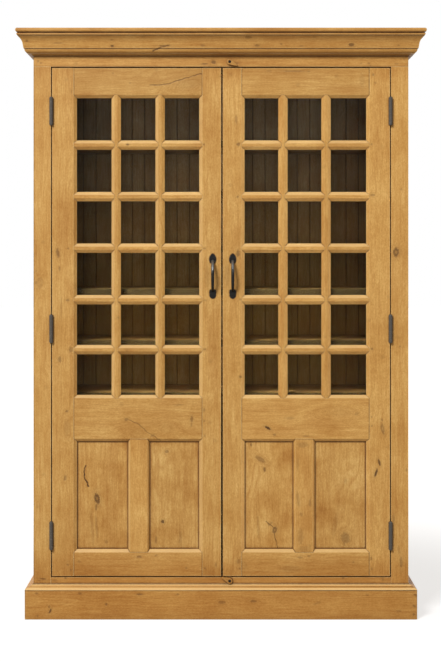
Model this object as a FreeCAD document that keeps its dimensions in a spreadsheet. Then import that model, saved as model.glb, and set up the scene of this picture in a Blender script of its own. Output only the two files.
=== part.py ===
"""Pine bookcase with two glazed and panelled doors.

A face-framed case stands on a plinth and carries a mitred crown moulding.  Each door is a mortised
frame with mitred bevels, three columns of six glass panes above and two flat panels below.  It swings
on three butt hinges, and two wooden turn-buttons on the case's rails keep the doors shut.

The origin is at the middle of the footprint, on the floor.  +X is to the right of someone facing the
doors, +Y runs from the front to the back, and +Z is up.  Every length is in millimetres.
"""
import FreeCAD, Part
import math
import operator
import os
import Sketcher
from types import SimpleNamespace

V = FreeCAD.Vector

# ------------------------------------------------------------------------------ driving dimensions

DRIVING = (
    # the case
    ("overall_width", 1426.0), ("overall_depth", 475.0), ("overall_height", 2057.0),
    ("body_width", 1312.0), ("side_thickness", 22.0), ("frame_thickness", 25.0),
    ("frame_stile_width", 60.8), ("frame_opening_bottom", 141.4), ("bottom_frame_rail_height", 80.0),
    ("top_board_thickness", 18.0), ("bottom_board_top", 155.0), ("shelf_thickness", 22.0),
    ("back_thickness", 14.0), ("back_recess", 4.0), ("back_rebate_width", 10.0),
    ("back_bottom_gap", 20.0), ("narrow_board", 47.0), ("inner_board", 95.5),
    ("middle_board", 122.0), ("outer_board", 136.5), ("board_groove", 3.0),
    ("tongue_length", 6.0), ("tongue_thickness", 5.0), ("board_clearance", 0.5),
    ("shelf_setback", 45.0), ("batten_size", 20.0), ("stop_width", 20.0), ("stop_height", 45.0),
    ("stop_overlap", 20.0),
    # the tops of the shelves above the floor
    ("first_shelf_top", 780.0), ("second_shelf_top", 967.0), ("third_shelf_top", 1150.0),
    ("fourth_shelf_top", 1302.0), ("fifth_shelf_top", 1493.0), ("sixth_shelf_top", 1673.0),
    # the crown and the plinth
    ("crown_height", 92.1), ("plinth_height", 101.4), ("plinth_overhang", 27.4), ("cap_height", 18.3),
    ("nosing_bulge", 4.0), ("nosing_height", 14.1), ("nosing_radius", 8.21), ("cap_lip", 2.5),
    # the doors
    ("door_thickness", 24.5), ("door_gap", 4.5), ("hinge_gap", 4.0), ("meeting_gap", 6.3),
    ("left_door_width", 591.4), ("left_hinge_stile", 86.3), ("right_hinge_stile", 82.1),
    ("left_hinge_pane", 121.4), ("right_hinge_pane", 124.3), ("meeting_stile", 76.2),
    ("bottom_rail", 93.2), ("panel_height", 377.6), ("mid_rail", 162.5), ("top_rail", 105.3),
    ("low_pane_height", 142.0), ("pane_height", 147.6), ("bar_width", 33.0), ("bar_flat", 11.0),
    ("bevel_depth", 7.0), ("under_rail_bevel", 9.0), ("divider_width", 74.0), ("divider_bevel", 6.5),
    ("left_divider_shift", 2.8), ("right_divider_shift", 4.6),
    ("glass_setback", 12.5), ("glass_thickness", 3.0), ("glass_cover", 9.0),
    ("panel_thickness", 10.0), ("panel_cover", 6.0),
    ("bead_cover", 10.5), ("bead_width", 9.5), ("bead_thickness", 8.5),
    ("tenon_length", 45.0), ("tenon_thickness", 8.0), ("tenon_shoulder", 10.0),
    # the hinges
    ("hinge_height", 95.0), ("barrel_radius", 6.5), ("barrel_clearance", 0.3), ("leaf_thickness", 1.8),
    ("leaf_width", 22.0), ("axis_inset", 0.1), ("pin_radius", 2.5), ("pin_clearance", 0.05),
    ("knuckle_clearance", 0.3),
    ("pin_dome_radius", 5.5), ("pin_dome_sink", 1.7), ("top_hinge_height", 1772.4),
    ("middle_hinge_height", 1011.1), ("bottom_hinge_height", 287.3),
    ("screw_radius", 1.8), ("screw_length", 20.0), ("screw_head_radius", 3.3),
    ("screw_head_height", 1.5), ("screw_spacing", 30.0),
    # the door handles
    ("handle_inset_left", 29.1), ("handle_inset_right", 34.6), ("handle_middle", 1196.0),
    ("handle_plate_thickness", 2.2), ("plate_end", 79.0), ("grip_reach", 56.0),
    ("grip_standoff", 34.0), ("grip_start", 4.5), ("grip_top_radius", 4.8),
    ("grip_middle_radius", 5.5), ("grip_foot_radius", 3.8), ("nail_radius", 1.2), ("nail_length", 14.0),
    ("nail_top_radius", 1.5), ("nail_head_radius", 2.6), ("nail_head_height", 1.3),
    # the turn-buttons
    ("button_pivot", 30.4), ("top_button_height", 1945.0), ("bottom_button_height", 130.3),
    ("button_head_radius", 10.2), ("button_tip_radius", 2.6), ("button_reach", 28.0),
    ("button_thickness", 9.0), ("button_clearance", 0.4), ("button_edge", 1.6),
    ("button_screw_radius", 2.0), ("button_screw_length", 22.0), ("button_screw_head", 4.8),
    ("button_screw_top", 2.9), ("button_screw_dome", 2.4), ("button_running", 0.05),
)
TOP_BUTTON_ANGLE = -27.0
BOTTOM_BUTTON_ANGLE = 158.0
# The crown's section below its nosing: millimetres out from the case, millimetres up, and the radius of
# the arc that starts there, negative where it bulges outwards.
CROWN_LINE = ((0, 0), (3, 0, 12), (17, 7.4), (20, 7.4), (20, 9.4, -12), (28.5, 21.6), (28.5, 24.1),
              (31.5, 24.1), (34.5, 41.1, 40), (51, 66.5), (51, 68.1, -3.5), (51, 74.7), (48.5, 74.7))
# The cap's section in the same terms: the rounded nose's height and radius, then the ridge and hollow.
CAP_NOSE = (2, -18)
CAP_LINE = ((16, 8.8), (14.5, 11, 16))
# The handle's plates in the same terms, but millimetres across and millimetres in from the plate's tip.
UPPER_PLATE = ((0, 0, 22), (11.2, 16, 24), (9.5, 31, 4), (4, 34.5), (-4, 34.5, 4), (-9.5, 31, 24),
               (-11.2, 16, 22))
LOWER_PLATE = ((3.5, 30.5, 4.7), (11, 26, 14), (10.3, 15.5, 12), (0, 0, 12), (-10.3, 15.5, 14),
               (-11, 26, 4.7), (-3.5, 30.5))
# Where a handle's nails stand, in millimetres across and up from its middle.
NAIL_PLACES = ((0, 73), (-8.4, 57), (8.4, 57), (0, -68.3), (-8.2, -54.4), (8.2, -54.4))
# A hinge's knuckles: the case's leaf has the first, the last and every other one between.
KNUCKLES = 5
# How far a cut for waste runs past the faces that it trims.
WASTE = 1


class Size:
    """A length that knows its present value and the sheet formula that drives it."""

    def __init__(self, value, formula):
        self.value = float(value)
        self.formula = formula

    def joined(self, sign, other, turned=False):
        left, right = (sized(other), self) if turned else (self, sized(other))
        work = {"+": operator.add, "-": operator.sub, "*": operator.mul, "/": operator.truediv}[sign]
        return Size(work(left.value, right.value), "(%s %s %s)" % (left.formula, sign, right.formula))

    def __add__(self, other):
        return self.joined("+", other)

    def __radd__(self, other):
        return self.joined("+", other, turned=True)

    def __sub__(self, other):
        return self.joined("-", other)

    def __rsub__(self, other):
        return self.joined("-", other, turned=True)

    def __mul__(self, other):
        return self.joined("*", other)

    def __rmul__(self, other):
        return self.joined("*", other, turned=True)

    def __truediv__(self, other):
        return self.joined("/", other)

    def __neg__(self):
        return self.joined("*", -1)


def sized(number):
    """A plain number as a Size, so that every length can be bound in one way."""
    return number if isinstance(number, Size) else Size(number, "%.6g" % number)


doc = FreeCAD.newDocument("bookcase")
sheet = doc.addObject("Spreadsheet::Sheet", "sizes")
for line, (alias, length) in enumerate(DRIVING, start=1):
    sheet.set("A%d" % line, alias)
    sheet.set("B%d" % line, str(length))
    sheet.setAlias("B%d" % line, alias)
doc.recompute()
size = SimpleNamespace(**{alias: Size(length, "sizes." + alias) for alias, length in DRIVING})

# -------------------------------------------------------------------------------- derived planes

half_body = size.body_width / 2
crown_overhang = (size.overall_width - size.body_width) / 2
front = crown_overhang - size.overall_depth / 2
back = size.overall_depth / 2
frame_back = front + size.frame_thickness
side_inner = half_body - size.side_thickness
case_top = size.overall_height - size.top_board_thickness
half_opening = half_body - size.frame_stile_width
hinge_edge = half_opening - size.hinge_gap
door_bottom = size.frame_opening_bottom + size.door_gap
panel_low = size.bottom_rail
panel_high = panel_low + size.panel_height
glass_low = panel_high + size.mid_rail
glass_high = glass_low + 2 * size.low_pane_height + 4 * size.pane_height + 5 * size.bar_width
door_height = glass_high + size.top_rail
opening_top = door_bottom + door_height + size.door_gap
right_door_width = 2 * hinge_edge - size.meeting_gap - size.left_door_width
back_front_face = back - size.back_recess - size.back_thickness
shelf_front = front + size.shelf_setback
bevel = (size.bar_width - size.bar_flat) / 2
axis_out = half_opening - size.leaf_thickness - size.axis_inset
axis_front = front - size.barrel_radius - size.barrel_clearance
SHELF_TOPS = (size.first_shelf_top, size.second_shelf_top, size.third_shelf_top,
              size.fourth_shelf_top, size.fifth_shelf_top, size.sixth_shelf_top)
HINGE_HEIGHTS = (size.bottom_hinge_height, size.middle_hinge_height, size.top_hinge_height)

nodes = {}

# --------------------------------------------------------------------------------- drawing helpers


def bind(thing, path, length):
    """Set one property of an object from the sheet."""
    thing.setExpression(path, sized(length).formula)


def place(thing, x=0, y=0, z=0):
    """Put an object where the sheet says."""
    bind(thing, "Placement.Base.x", x)
    bind(thing, "Placement.Base.y", y)
    bind(thing, "Placement.Base.z", z)
    return thing


def node(name, thing):
    """Name a finished sub-part."""
    thing.Label = name
    nodes[name] = thing
    return thing


def new_body(name):
    """An empty PartDesign body that may hold several solids."""
    body = doc.addObject("PartDesign::Body", name + "_body")
    body.AllowCompound = True
    return body


def sketch_on(body, role, offset=0):
    """A sketch on one of the body's own origin planes, shifted along that plane's normal."""
    sketch = body.newObject("Sketcher::SketchObject", body.Name + "_sketch")
    plane = [feature for feature in body.Origin.OriginFeatures if feature.Role == role][0]
    sketch.AttachmentSupport = [(plane, "")]
    sketch.MapMode = "FlatFace"
    bind(sketch, "AttachmentOffset.Base.z", offset)
    return sketch


def arc_between(start, end, radius):
    """The arc from start to end: it bows to the left of that way when the radius is positive."""
    chord = end - start
    reach = math.sqrt(max(radius * radius - chord.Length * chord.Length / 4, 0.0))
    left = V(-chord.y, chord.x, 0).normalize()
    centre = (start + end) * 0.5 - left * reach * math.copysign(1.0, radius)
    first, last = (end, start) if radius > 0 else (start, end)
    turn = [math.atan2(point.y - centre.y, point.x - centre.x) for point in (first, last)]
    return Part.ArcOfCircle(Part.Circle(centre, V(0, 0, 1), abs(radius)), turn[0], turn[1])


def draw(sketch, corners):
    """Draw a closed outline and bind every corner to the sheet.

    A corner is (across, up), or (across, up, radius) where an arc leaves it for the next corner.
    """
    first = sketch.GeometryCount
    count = len(corners)
    points = [V(sized(corner[0]).value, sized(corner[1]).value, 0) for corner in corners]
    starts = []
    ends = []
    for number, corner in enumerate(corners):
        start, end = points[number], points[(number + 1) % count]
        if len(corner) == 3:
            radius = sized(corner[2]).value
            sketch.addGeometry(arc_between(start, end, radius), False)
            starts.append(2 if radius > 0 else 1)
            ends.append(1 if radius > 0 else 2)
        else:
            sketch.addGeometry(Part.LineSegment(start, end), False)
            starts.append(1)
            ends.append(2)
    rules = []
    drivers = []
    arcs = []
    for number, corner in enumerate(corners):
        following = (number + 1) % count
        rules.append(Sketcher.Constraint("Coincident", first + number, ends[number],
                                         first + following, starts[following]))
    for number, corner in enumerate(corners):
        here = (first + number, starts[number])
        rules.append(Sketcher.Constraint("DistanceX", -1, 1, here[0], here[1], points[number].x))
        drivers.append((count + 2 * number, corner[0]))
        rules.append(Sketcher.Constraint("DistanceY", -1, 1, here[0], here[1], points[number].y))
        drivers.append((count + 2 * number + 1, corner[1]))
        if len(corner) == 3:
            radius = sized(corner[2])
            arcs.append((first + number, Size(abs(radius.value), "abs(%s)" % radius.formula)))
    for number, radius in arcs:
        drivers.append((len(rules), radius))
        rules.append(Sketcher.Constraint("Radius", number, radius.value))
    before = sketch.ConstraintCount
    sketch.addConstraint(rules)
    for number, length in drivers:
        bind(sketch, "Constraints[%d]" % (before + number), length)


def draw_circle(sketch, across, up, radius):
    """Draw a circle and bind its centre and radius to the sheet."""
    number = sketch.GeometryCount
    before = sketch.ConstraintCount
    across, up, radius = sized(across), sized(up), sized(radius)
    sketch.addGeometry(Part.Circle(V(across.value, up.value, 0), V(0, 0, 1), radius.value), False)
    sketch.addConstraint([Sketcher.Constraint("DistanceX", -1, 1, number, 3, across.value),
                          Sketcher.Constraint("DistanceY", -1, 1, number, 3, up.value),
                          Sketcher.Constraint("Radius", number, radius.value)])
    for step, length in enumerate((across, up, radius)):
        bind(sketch, "Constraints[%d]" % (before + step), length)


def rectangle(low_across, low_up, high_across, high_up):
    """The four corners of a rectangle."""
    return [(low_across, low_up), (high_across, low_up), (high_across, high_up), (low_across, high_up)]


def pad(body, sketch, length, reverse=False, both_ways=False):
    """Raise a sketch into a solid; on the front plane, reverse sends it towards the back."""
    feature = body.newObject("PartDesign::Pad", body.Name + "_pad")
    feature.Profile = sketch
    feature.SideType = "Symmetric" if both_ways else "One side"
    feature.Reversed = reverse
    bind(feature, "Length", length)
    return feature


def pocket(body, sketch, length=None, reverse=False):
    """Cut a sketch away: right through in both directions, or to a depth on one side."""
    feature = body.newObject("PartDesign::Pocket", body.Name + "_pocket")
    feature.Profile = sketch
    if length is None:
        feature.Type = "ThroughAll"
        feature.SideType = "Symmetric"
    else:
        bind(feature, "Length", length)
        feature.Reversed = reverse
    return feature


def box(name, corner, extent):
    """A box from its lowest corner and its three extents."""
    solid = doc.addObject("Part::Box", name)
    for side, length in zip(("Length", "Width", "Height"), extent):
        bind(solid, side, length)
    return place(solid, *corner)


def rod(name, radius, length, centre, axis="Z"):
    """A cylinder that starts at centre and runs along X, -X, Y or Z."""
    solid = doc.addObject("Part::Cylinder", name)
    bind(solid, "Radius", radius)
    bind(solid, "Height", length)
    turns = {"X": (V(0, 1, 0), 90), "-X": (V(0, 1, 0), -90), "Y": (V(1, 0, 0), -90), "Z": (V(0, 0, 1), 0)}
    solid.Placement = FreeCAD.Placement(V(0, 0, 0), FreeCAD.Rotation(*turns[axis]))
    return place(solid, *centre)


def taper(name, near_radius, far_radius, length, centre, axis):
    """A cone that starts at centre with its near radius."""
    solid = doc.addObject("Part::Cone", name)
    bind(solid, "Radius1", near_radius)
    bind(solid, "Radius2", far_radius)
    bind(solid, "Height", length)
    turns = {"X": (V(0, 1, 0), 90), "-X": (V(0, 1, 0), -90), "Y": (V(1, 0, 0), -90)}
    solid.Placement = FreeCAD.Placement(V(0, 0, 0), FreeCAD.Rotation(*turns[axis]))
    return place(solid, *centre)


def fused(name, parts):
    """One solid from several that touch or overlap."""
    joined = doc.addObject("Part::MultiFuse", name)
    joined.Shapes = parts
    joined.Refine = True
    return joined


def cut(name, base, tools):
    """A solid with others taken out of it."""
    tool = tools[0] if len(tools) == 1 else fused(name + "_tool", tools)
    left = doc.addObject("Part::Cut", name)
    left.Base = base
    left.Tool = tool
    return left


def group(name, parts):
    """Several loose solids that share a node."""
    together = doc.addObject("Part::Compound", name + "_group")
    together.Links = parts
    return node(name, together)


# ------------------------------------------------------------------------------------ the case


def frame_screw_holes(body, side, heights):
    """Pilot holes for three screws behind each hinge leaf, in an edge at the body's own X = 0."""
    sketch = sketch_on(body, "YZ_Plane")
    for height in heights:
        for step in (-1, 0, 1):
            draw_circle(sketch, size.leaf_width / 2, height + step * size.screw_spacing, size.screw_radius)
    pocket(body, sketch, size.screw_length, reverse=side > 0)


def case_side(name, side):
    """A board behind the face frame, rebated at the back for the back boards."""
    body = new_body(name)
    depth = back - frame_back
    rebate_front = back_front_face - frame_back
    outline = [(0, 0), (side * size.side_thickness, 0), (side * size.side_thickness, depth),
               (side * size.back_rebate_width, depth), (side * size.back_rebate_width, rebate_front),
               (0, rebate_front)]
    sketch = sketch_on(body, "XY_Plane")
    draw(sketch, outline)
    pad(body, sketch, case_top)
    place(body, side * side_inner, frame_back)
    node(name, body)


def face_frame():
    """Two stiles, a top rail across them and a bottom rail between them, with their screw holes."""
    for name, side in (("left_frame_stile", -1), ("right_frame_stile", 1)):
        body = new_body(name)
        sketch = sketch_on(body, "XY_Plane")
        draw(sketch, rectangle(0, 0, side * size.frame_stile_width, size.frame_thickness))
        pad(body, sketch, opening_top)
        frame_screw_holes(body, side, HINGE_HEIGHTS)
        place(body, side * half_opening, front)
        node(name, body)
    rails = (("bottom_frame_rail", half_opening, size.frame_opening_bottom - size.bottom_frame_rail_height,
              size.frame_opening_bottom, size.bottom_button_height),
             ("top_frame_rail", half_body, opening_top, case_top, size.top_button_height))
    for name, reach, low, high, pivot in rails:
        body = new_body(name)
        sketch = sketch_on(body, "XZ_Plane")
        draw(sketch, rectangle(-reach, 0, reach, high - low))
        pad(body, sketch, size.frame_thickness, reverse=True)
        hole = sketch_on(body, "XZ_Plane")
        draw_circle(hole, size.button_pivot, pivot - low, size.button_screw_radius)
        pocket(body, hole, size.button_screw_length)
        place(body, 0, front, low)
        node(name, body)


def case_boards():
    """The top, the bottom, the door stop and the shelves on their battens."""
    depth = back - front
    node("top_board", box("top", (-half_body, front, case_top),
                          (size.body_width, depth, size.top_board_thickness)))
    node("bottom_board", box("bottom",
                             (-side_inner, frame_back, size.bottom_board_top - size.shelf_thickness),
                             (2 * side_inner, back_front_face - frame_back, size.shelf_thickness)))
    node("door_stop", box("stop", (-side_inner, frame_back, opening_top - size.stop_overlap),
                          (2 * side_inner, size.stop_width, size.stop_height)))
    shelf_depth = back_front_face - shelf_front
    battens = []
    for number, top in enumerate(SHELF_TOPS, start=1):
        low = top - size.shelf_thickness
        node("shelf_%d" % number, box("board_%d" % number, (-side_inner, shelf_front, low),
                                      (2 * side_inner, shelf_depth, size.shelf_thickness)))
        for corner in (-side_inner, side_inner - size.batten_size):
            battens.append(box("batten", (corner, shelf_front + size.batten_size, low - size.batten_size),
                               (size.batten_size, shelf_depth - size.batten_size, size.batten_size)))
    group("shelf_battens", battens)


def board_edges():
    """The joints between the back boards, from left to right, the same on both sides of the middle."""
    edge = size.narrow_board / 2
    edges = [edge]
    for width in (size.inner_board, size.narrow_board, size.middle_board, size.narrow_board,
                  size.outer_board, size.narrow_board):
        edge = edge + width
        edges.append(edge)
    edges.append(side_inner + size.back_rebate_width)
    return [-edge for edge in reversed(edges)] + edges


def back_board(body, left, right, tongued, grooved):
    """One upright board: a V at each joint, a tongue on its left edge and a groove in its right."""
    vee = size.board_groove
    thick = size.back_thickness
    slack = size.board_clearance
    groove_low = thick / 2 - size.tongue_thickness / 2
    groove_high = thick / 2 + size.tongue_thickness / 2
    left = left + slack / 2
    right = right - slack / 2
    outline = [(left + vee, 0), (right - vee, 0), (right, vee)]
    if grooved:
        depth = size.tongue_length
        outline += [(right, groove_low), (right - depth, groove_low),
                    (right - depth, groove_high), (right, groove_high)]
    outline += [(right, thick), (left, thick)]
    if tongued:
        reach = size.tongue_length
        outline += [(left, groove_high - slack), (left - reach, groove_high - slack),
                    (left - reach, groove_low + slack), (left, groove_low + slack)]
    outline.append((left, vee))
    sketch = sketch_on(body, "XY_Plane")
    draw(sketch, outline)
    pad(body, sketch, case_top - size.back_bottom_gap)


def back_boards():
    """Tongued and grooved boards of alternating narrow and wide widths."""
    body = new_body("back_boards")
    edges = board_edges()
    last = len(edges) - 2
    for number, (left, right) in enumerate(zip(edges, edges[1:])):
        back_board(body, left, right, tongued=number > 0, grooved=number < last)
    place(body, 0, back_front_face, size.back_bottom_gap)
    node("back_boards", body)


# ------------------------------------------------------------------- the crown and plinth mouldings


def crown_profile():
    """Points out from the case and up: a cove, an ovolo, a tall cove, a bead and a round nosing."""
    nose = crown_overhang - size.nosing_bulge
    under_nose = size.crown_height - size.nosing_height
    return list(CROWN_LINE) + [(CROWN_LINE[-1][0], under_nose), (nose, under_nose, -size.nosing_radius),
                               (nose, size.crown_height), (0, size.crown_height)]


def plinth_profile():
    """A flat board."""
    return rectangle(0, 0, size.plinth_overhang, size.plinth_height)


def cap_profile():
    """A rounded slope, a small ridge and a shallow hollow that dies into the case."""
    nose = size.plinth_overhang
    return [(0, 0), (nose, 0), (nose,) + CAP_NOSE, *CAP_LINE, (size.cap_lip, size.cap_height),
            (0, size.cap_height)]


def mirrored(profile):
    """The same profile with its outward direction turned over."""
    return [(-corner[0], corner[1]) + tuple(-radius for radius in corner[2:]) for corner in profile]


def mitre(body, side, reach):
    """Take the waste off one end of the front length, along the 45 degree line of the corner."""
    sketch = sketch_on(body, "XY_Plane")
    end = half_body + reach + WASTE
    draw(sketch, [(side * (half_body - WASTE), WASTE), (side * end, -reach - WASTE), (side * end, WASTE)])
    pocket(body, sketch)


def front_moulding(profile, reach, body, height):
    """A length across the front, mitred at both ends."""
    sketch = sketch_on(body, "YZ_Plane")
    draw(sketch, mirrored(profile))
    pad(body, sketch, size.body_width + 2 * reach, both_ways=True)
    mitre(body, -1, reach)
    mitre(body, 1, reach)
    place(body, 0, front, height)


def side_moulding(profile, reach, body, side, height):
    """A length along one side, mitred at its front end."""
    sketch = sketch_on(body, "XZ_Plane", offset=reach)
    draw(sketch, profile if side > 0 else mirrored(profile))
    pad(body, sketch, back - front + reach, reverse=True)
    waste = sketch_on(body, "XY_Plane")
    draw(waste, [(-side * WASTE, WASTE), (side * (reach + WASTE), -reach - WASTE),
                 (-side * WASTE, -reach - WASTE)])
    pocket(body, waste)
    place(body, side * half_body, front, height)


def mouldings():
    """The crown, the plinth boards and the plinth's cap, each in three mitred lengths."""
    crown_low = size.overall_height - size.crown_height
    for name, profile, reach, height in (
            ("crown", crown_profile(), crown_overhang, crown_low),
            ("plinth", plinth_profile(), size.plinth_overhang, 0),
            ("plinth_cap", cap_profile(), size.plinth_overhang, size.plinth_height)):
        lengths = []
        for place_name, side in (("front", 0), ("left", -1), ("right", 1)):
            body = new_body(name + "_" + place_name)
            lengths.append(body)
            if side == 0:
                front_moulding(profile, reach, body, height)
            else:
                side_moulding(profile, reach, body, side, height)
            if name != "plinth_cap":
                node(name + "_" + place_name, body)
        if name == "plinth_cap":
            group("plinth_cap", lengths)


# ------------------------------------------------------------------------------------- the doors


def mitred_edge(flat, sight, openings):
    """One moulded edge: (along, across) points, out at each opening and back to the flat between.

    An opening is (low, high, low bevel, high bevel); flat and sight are where the bevel begins and ends.
    """
    points = []
    for low, high, low_bevel, high_bevel in openings:
        points += [(low - low_bevel, flat), (low, sight), (high, sight), (high + high_bevel, flat)]
    return points


def bevel_section(flat, sight):
    """The waste above a bevel that falls from the front face at flat to full depth at sight."""
    over = 0.1
    reach = (sight - flat) * over
    drop = size.bevel_depth * over
    return [(flat - reach, -drop), (sight + reach, size.bevel_depth + drop), (sight + reach, -drop)]


def swapped(points):
    """The same points with their two coordinates exchanged."""
    return [(second, first) for first, second in points]


class DoorPlan:
    """The places of one door's members, measured from its hinge edge and its bottom edge.

    The divider stands nearer the meeting stile than the hinge stile, by twice its shift.
    """

    def __init__(self, name, side, width, hinge_stile, hinge_pane, divider_shift):
        self.name = name
        self.side = side
        self.width = width
        self.hinge_sight = hinge_stile
        self.hinge_flat = hinge_stile - bevel
        self.meeting_sight = width - size.meeting_stile
        self.meeting_flat = self.meeting_sight + bevel
        glazed = self.meeting_sight - self.hinge_sight
        pane = (glazed - 2 * size.bar_width - hinge_pane) / 2
        edges = [self.hinge_sight]
        for step in (hinge_pane, size.bar_width, pane, size.bar_width):
            edges.append(edges[-1] + step)
        edges.append(self.meeting_sight)
        self.columns = [(edges[0], edges[1]), (edges[2], edges[3]), (edges[4], edges[5])]
        self.rows = []
        low = glass_low
        for height in [size.low_pane_height] * 2 + [size.pane_height] * 4:
            self.rows.append((low, low + height))
            low = low + height + size.bar_width
        middle = (self.hinge_sight + self.meeting_sight) / 2 + divider_shift
        self.panels = [(self.hinge_sight, middle - size.divider_width / 2),
                       (middle + size.divider_width / 2, self.meeting_sight)]

    def body(self, part):
        return new_body(self.name + "_" + part)

    def finish(self, part, body):
        """Put a member at the door's lower hinge corner, flush with the case's front."""
        place(body, -self.side * hinge_edge, front, door_bottom)
        node(self.name + "_" + part, body)

    def turned(self, points):
        """Points measured from the hinge edge, on the side where this door lies."""
        return [(self.side * point[0],) + tuple(point[1:]) for point in points]

    def glass_rows(self):
        return [(low, high, bevel, bevel) for low, high in self.rows]

    def glass_columns(self):
        return [(low, high, bevel, bevel) for low, high in self.columns]

    def upright_bevel(self, body, flat, sight):
        """Bevel the edge of an upright member along its whole height."""
        sketch = sketch_on(body, "XY_Plane")
        draw(sketch, self.turned(bevel_section(flat, sight)))
        pocket(body, sketch)

    def level_bevel(self, body, flat, sight):
        """Bevel the edge of a level member along its whole length."""
        sketch = sketch_on(body, "YZ_Plane")
        draw(sketch, swapped(bevel_section(flat, sight)))
        pocket(body, sketch)

    def sink(self, body, areas, start, depth):
        """Cut areas away behind the plane at start, as a rebate, a groove or a mortise."""
        sketch = sketch_on(body, "XZ_Plane", offset=-start)
        for area in areas:
            draw(sketch, self.turned(rectangle(*area)))
        pocket(body, sketch, depth)

    def rebate(self, body, areas):
        self.sink(body, areas, size.glass_setback, size.door_thickness - size.glass_setback)

    def groove(self, body, areas):
        self.sink(body, areas, size.glass_setback, size.panel_thickness)

    def rail_spans(self):
        """Each rail's flat stretch of height, where its tenons are."""
        return [(0, panel_low - bevel), (panel_high + size.under_rail_bevel, glass_low - bevel),
                (glass_high + bevel, door_height)]

    def tenon_heights(self):
        shoulder = size.tenon_shoulder
        return [(low + shoulder, high - shoulder) for low, high in self.rail_spans()]


def stile(plan, part, outer, flat, sight):
    """An upright of the door's frame, from its outer edge to its moulded inner edge."""
    body = plan.body(part)
    openings = [(panel_low, panel_high, bevel, size.under_rail_bevel)] + plan.glass_rows()
    inner = swapped(mitred_edge(flat, sight, openings))
    sketch = sketch_on(body, "XZ_Plane")
    draw(sketch, plan.turned([(outer, 0), (flat, 0)] + inner + [(flat, door_height), (outer, door_height)]))
    pad(body, sketch, size.door_thickness, reverse=True)
    plan.upright_bevel(body, flat, sight)
    plan.rebate(body, [(flat, glass_low - bevel, sight, glass_high + bevel)])
    plan.groove(body, [(flat, panel_low - bevel, sight, panel_high + size.under_rail_bevel)])
    inward = flat - size.tenon_length if part == "hinge_stile" else flat + size.tenon_length
    mortises = [(inward, low, flat, high) for low, high in plan.tenon_heights()]
    plan.sink(body, mortises, size.tenon_thickness, size.tenon_thickness)
    return body


def hinge_stile(plan):
    body = stile(plan, "hinge_stile", 0, plan.hinge_flat, plan.hinge_sight)
    frame_screw_holes(body, plan.side, [height - door_bottom for height in HINGE_HEIGHTS])
    plan.finish("hinge_stile", body)


def meeting_stile(plan, handle):
    body = stile(plan, "meeting_stile", plan.width, plan.meeting_flat, plan.meeting_sight)
    sketch = sketch_on(body, "XZ_Plane")
    for across, up in handle_nails(handle):
        draw_circle(sketch, across + plan.side * hinge_edge, up - door_bottom, size.nail_radius)
    pocket(body, sketch, size.nail_length)
    plan.finish("meeting_stile", body)


def rail(plan, part, low, high, low_edge, high_edge, low_openings, high_openings):
    """A level member with tenons; low_edge and high_edge are (flat, sight), or None where it is plain."""
    body = plan.body(part)
    lower = mitred_edge(low_edge[0], low_edge[1], low_openings) if low_edge else [
        (plan.hinge_flat, low), (plan.meeting_flat, low)]
    upper = mitred_edge(high_edge[0], high_edge[1], high_openings) if high_edge else [
        (plan.hinge_flat, high), (plan.meeting_flat, high)]
    sketch = sketch_on(body, "XZ_Plane")
    draw(sketch, plan.turned(lower + list(reversed(upper))))
    pad(body, sketch, size.door_thickness, reverse=True)
    shoulder = size.tenon_shoulder
    flat_low = low_edge[0] if low_edge else low
    flat_high = high_edge[0] if high_edge else high
    tenons = sketch_on(body, "XZ_Plane", offset=-size.tenon_thickness)
    draw(tenons, plan.turned(rectangle(plan.hinge_flat - size.tenon_length, flat_low + shoulder,
                                       plan.meeting_flat + size.tenon_length, flat_high - shoulder)))
    pad(body, tenons, size.tenon_thickness, reverse=True)
    for edge in (low_edge, high_edge):
        if edge:
            plan.level_bevel(body, edge[0], edge[1])
    return body


def rails(plan):
    """The bottom rail, the rail between panels and glass, and the top rail."""
    first, second = plan.panels
    over_panels = [(first[0], first[1], bevel, size.divider_bevel),
                   (second[0], second[1], size.divider_bevel, bevel)]
    across = (plan.hinge_flat, plan.meeting_flat)
    spans = plan.rail_spans()

    body = rail(plan, "bottom_rail", 0, panel_low, None, (spans[0][1], panel_low), [], over_panels)
    plan.groove(body, [(across[0], spans[0][1], across[1], panel_low)])
    plan.finish("bottom_rail", body)

    body = rail(plan, "mid_rail", panel_high, glass_low, (spans[1][0], panel_high),
                (spans[1][1], glass_low), over_panels, plan.glass_columns())
    plan.groove(body, [(across[0], panel_high, across[1], spans[1][0])])
    plan.rebate(body, [(across[0], spans[1][1], across[1], glass_low)])
    plan.finish("mid_rail", body)

    body = rail(plan, "top_rail", glass_high, door_height, (spans[2][0], glass_high), None,
                plan.glass_columns(), [])
    plan.rebate(body, [(across[0], glass_high, across[1], spans[2][0])])
    plan.finish("top_rail", body)


def upright(plan, body, middle, half_flat, half_sight, openings):
    """An upright that is moulded along both edges."""
    right = swapped(mitred_edge(middle + half_flat, middle + half_sight, openings))
    left = swapped(mitred_edge(middle - half_flat, middle - half_sight, openings))
    sketch = sketch_on(body, "XZ_Plane")
    draw(sketch, plan.turned(right + list(reversed(left))))
    pad(body, sketch, size.door_thickness, reverse=True)


def panel_divider(plan):
    body = plan.body("panel_divider")
    middle = (plan.panels[0][1] + plan.panels[1][0]) / 2
    half_sight = size.divider_width / 2
    half_flat = half_sight - size.divider_bevel
    upright(plan, body, middle, half_flat, half_sight,
            [(panel_low, panel_high, bevel, size.under_rail_bevel)])
    low, high = panel_low - bevel, panel_high + size.under_rail_bevel
    for turn in (-1, 1):
        flat, sight = middle + turn * half_flat, middle + turn * half_sight
        plan.upright_bevel(body, flat, sight)
        plan.groove(body, [(flat, low, sight, high)])
    plan.finish("panel_divider", body)


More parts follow.
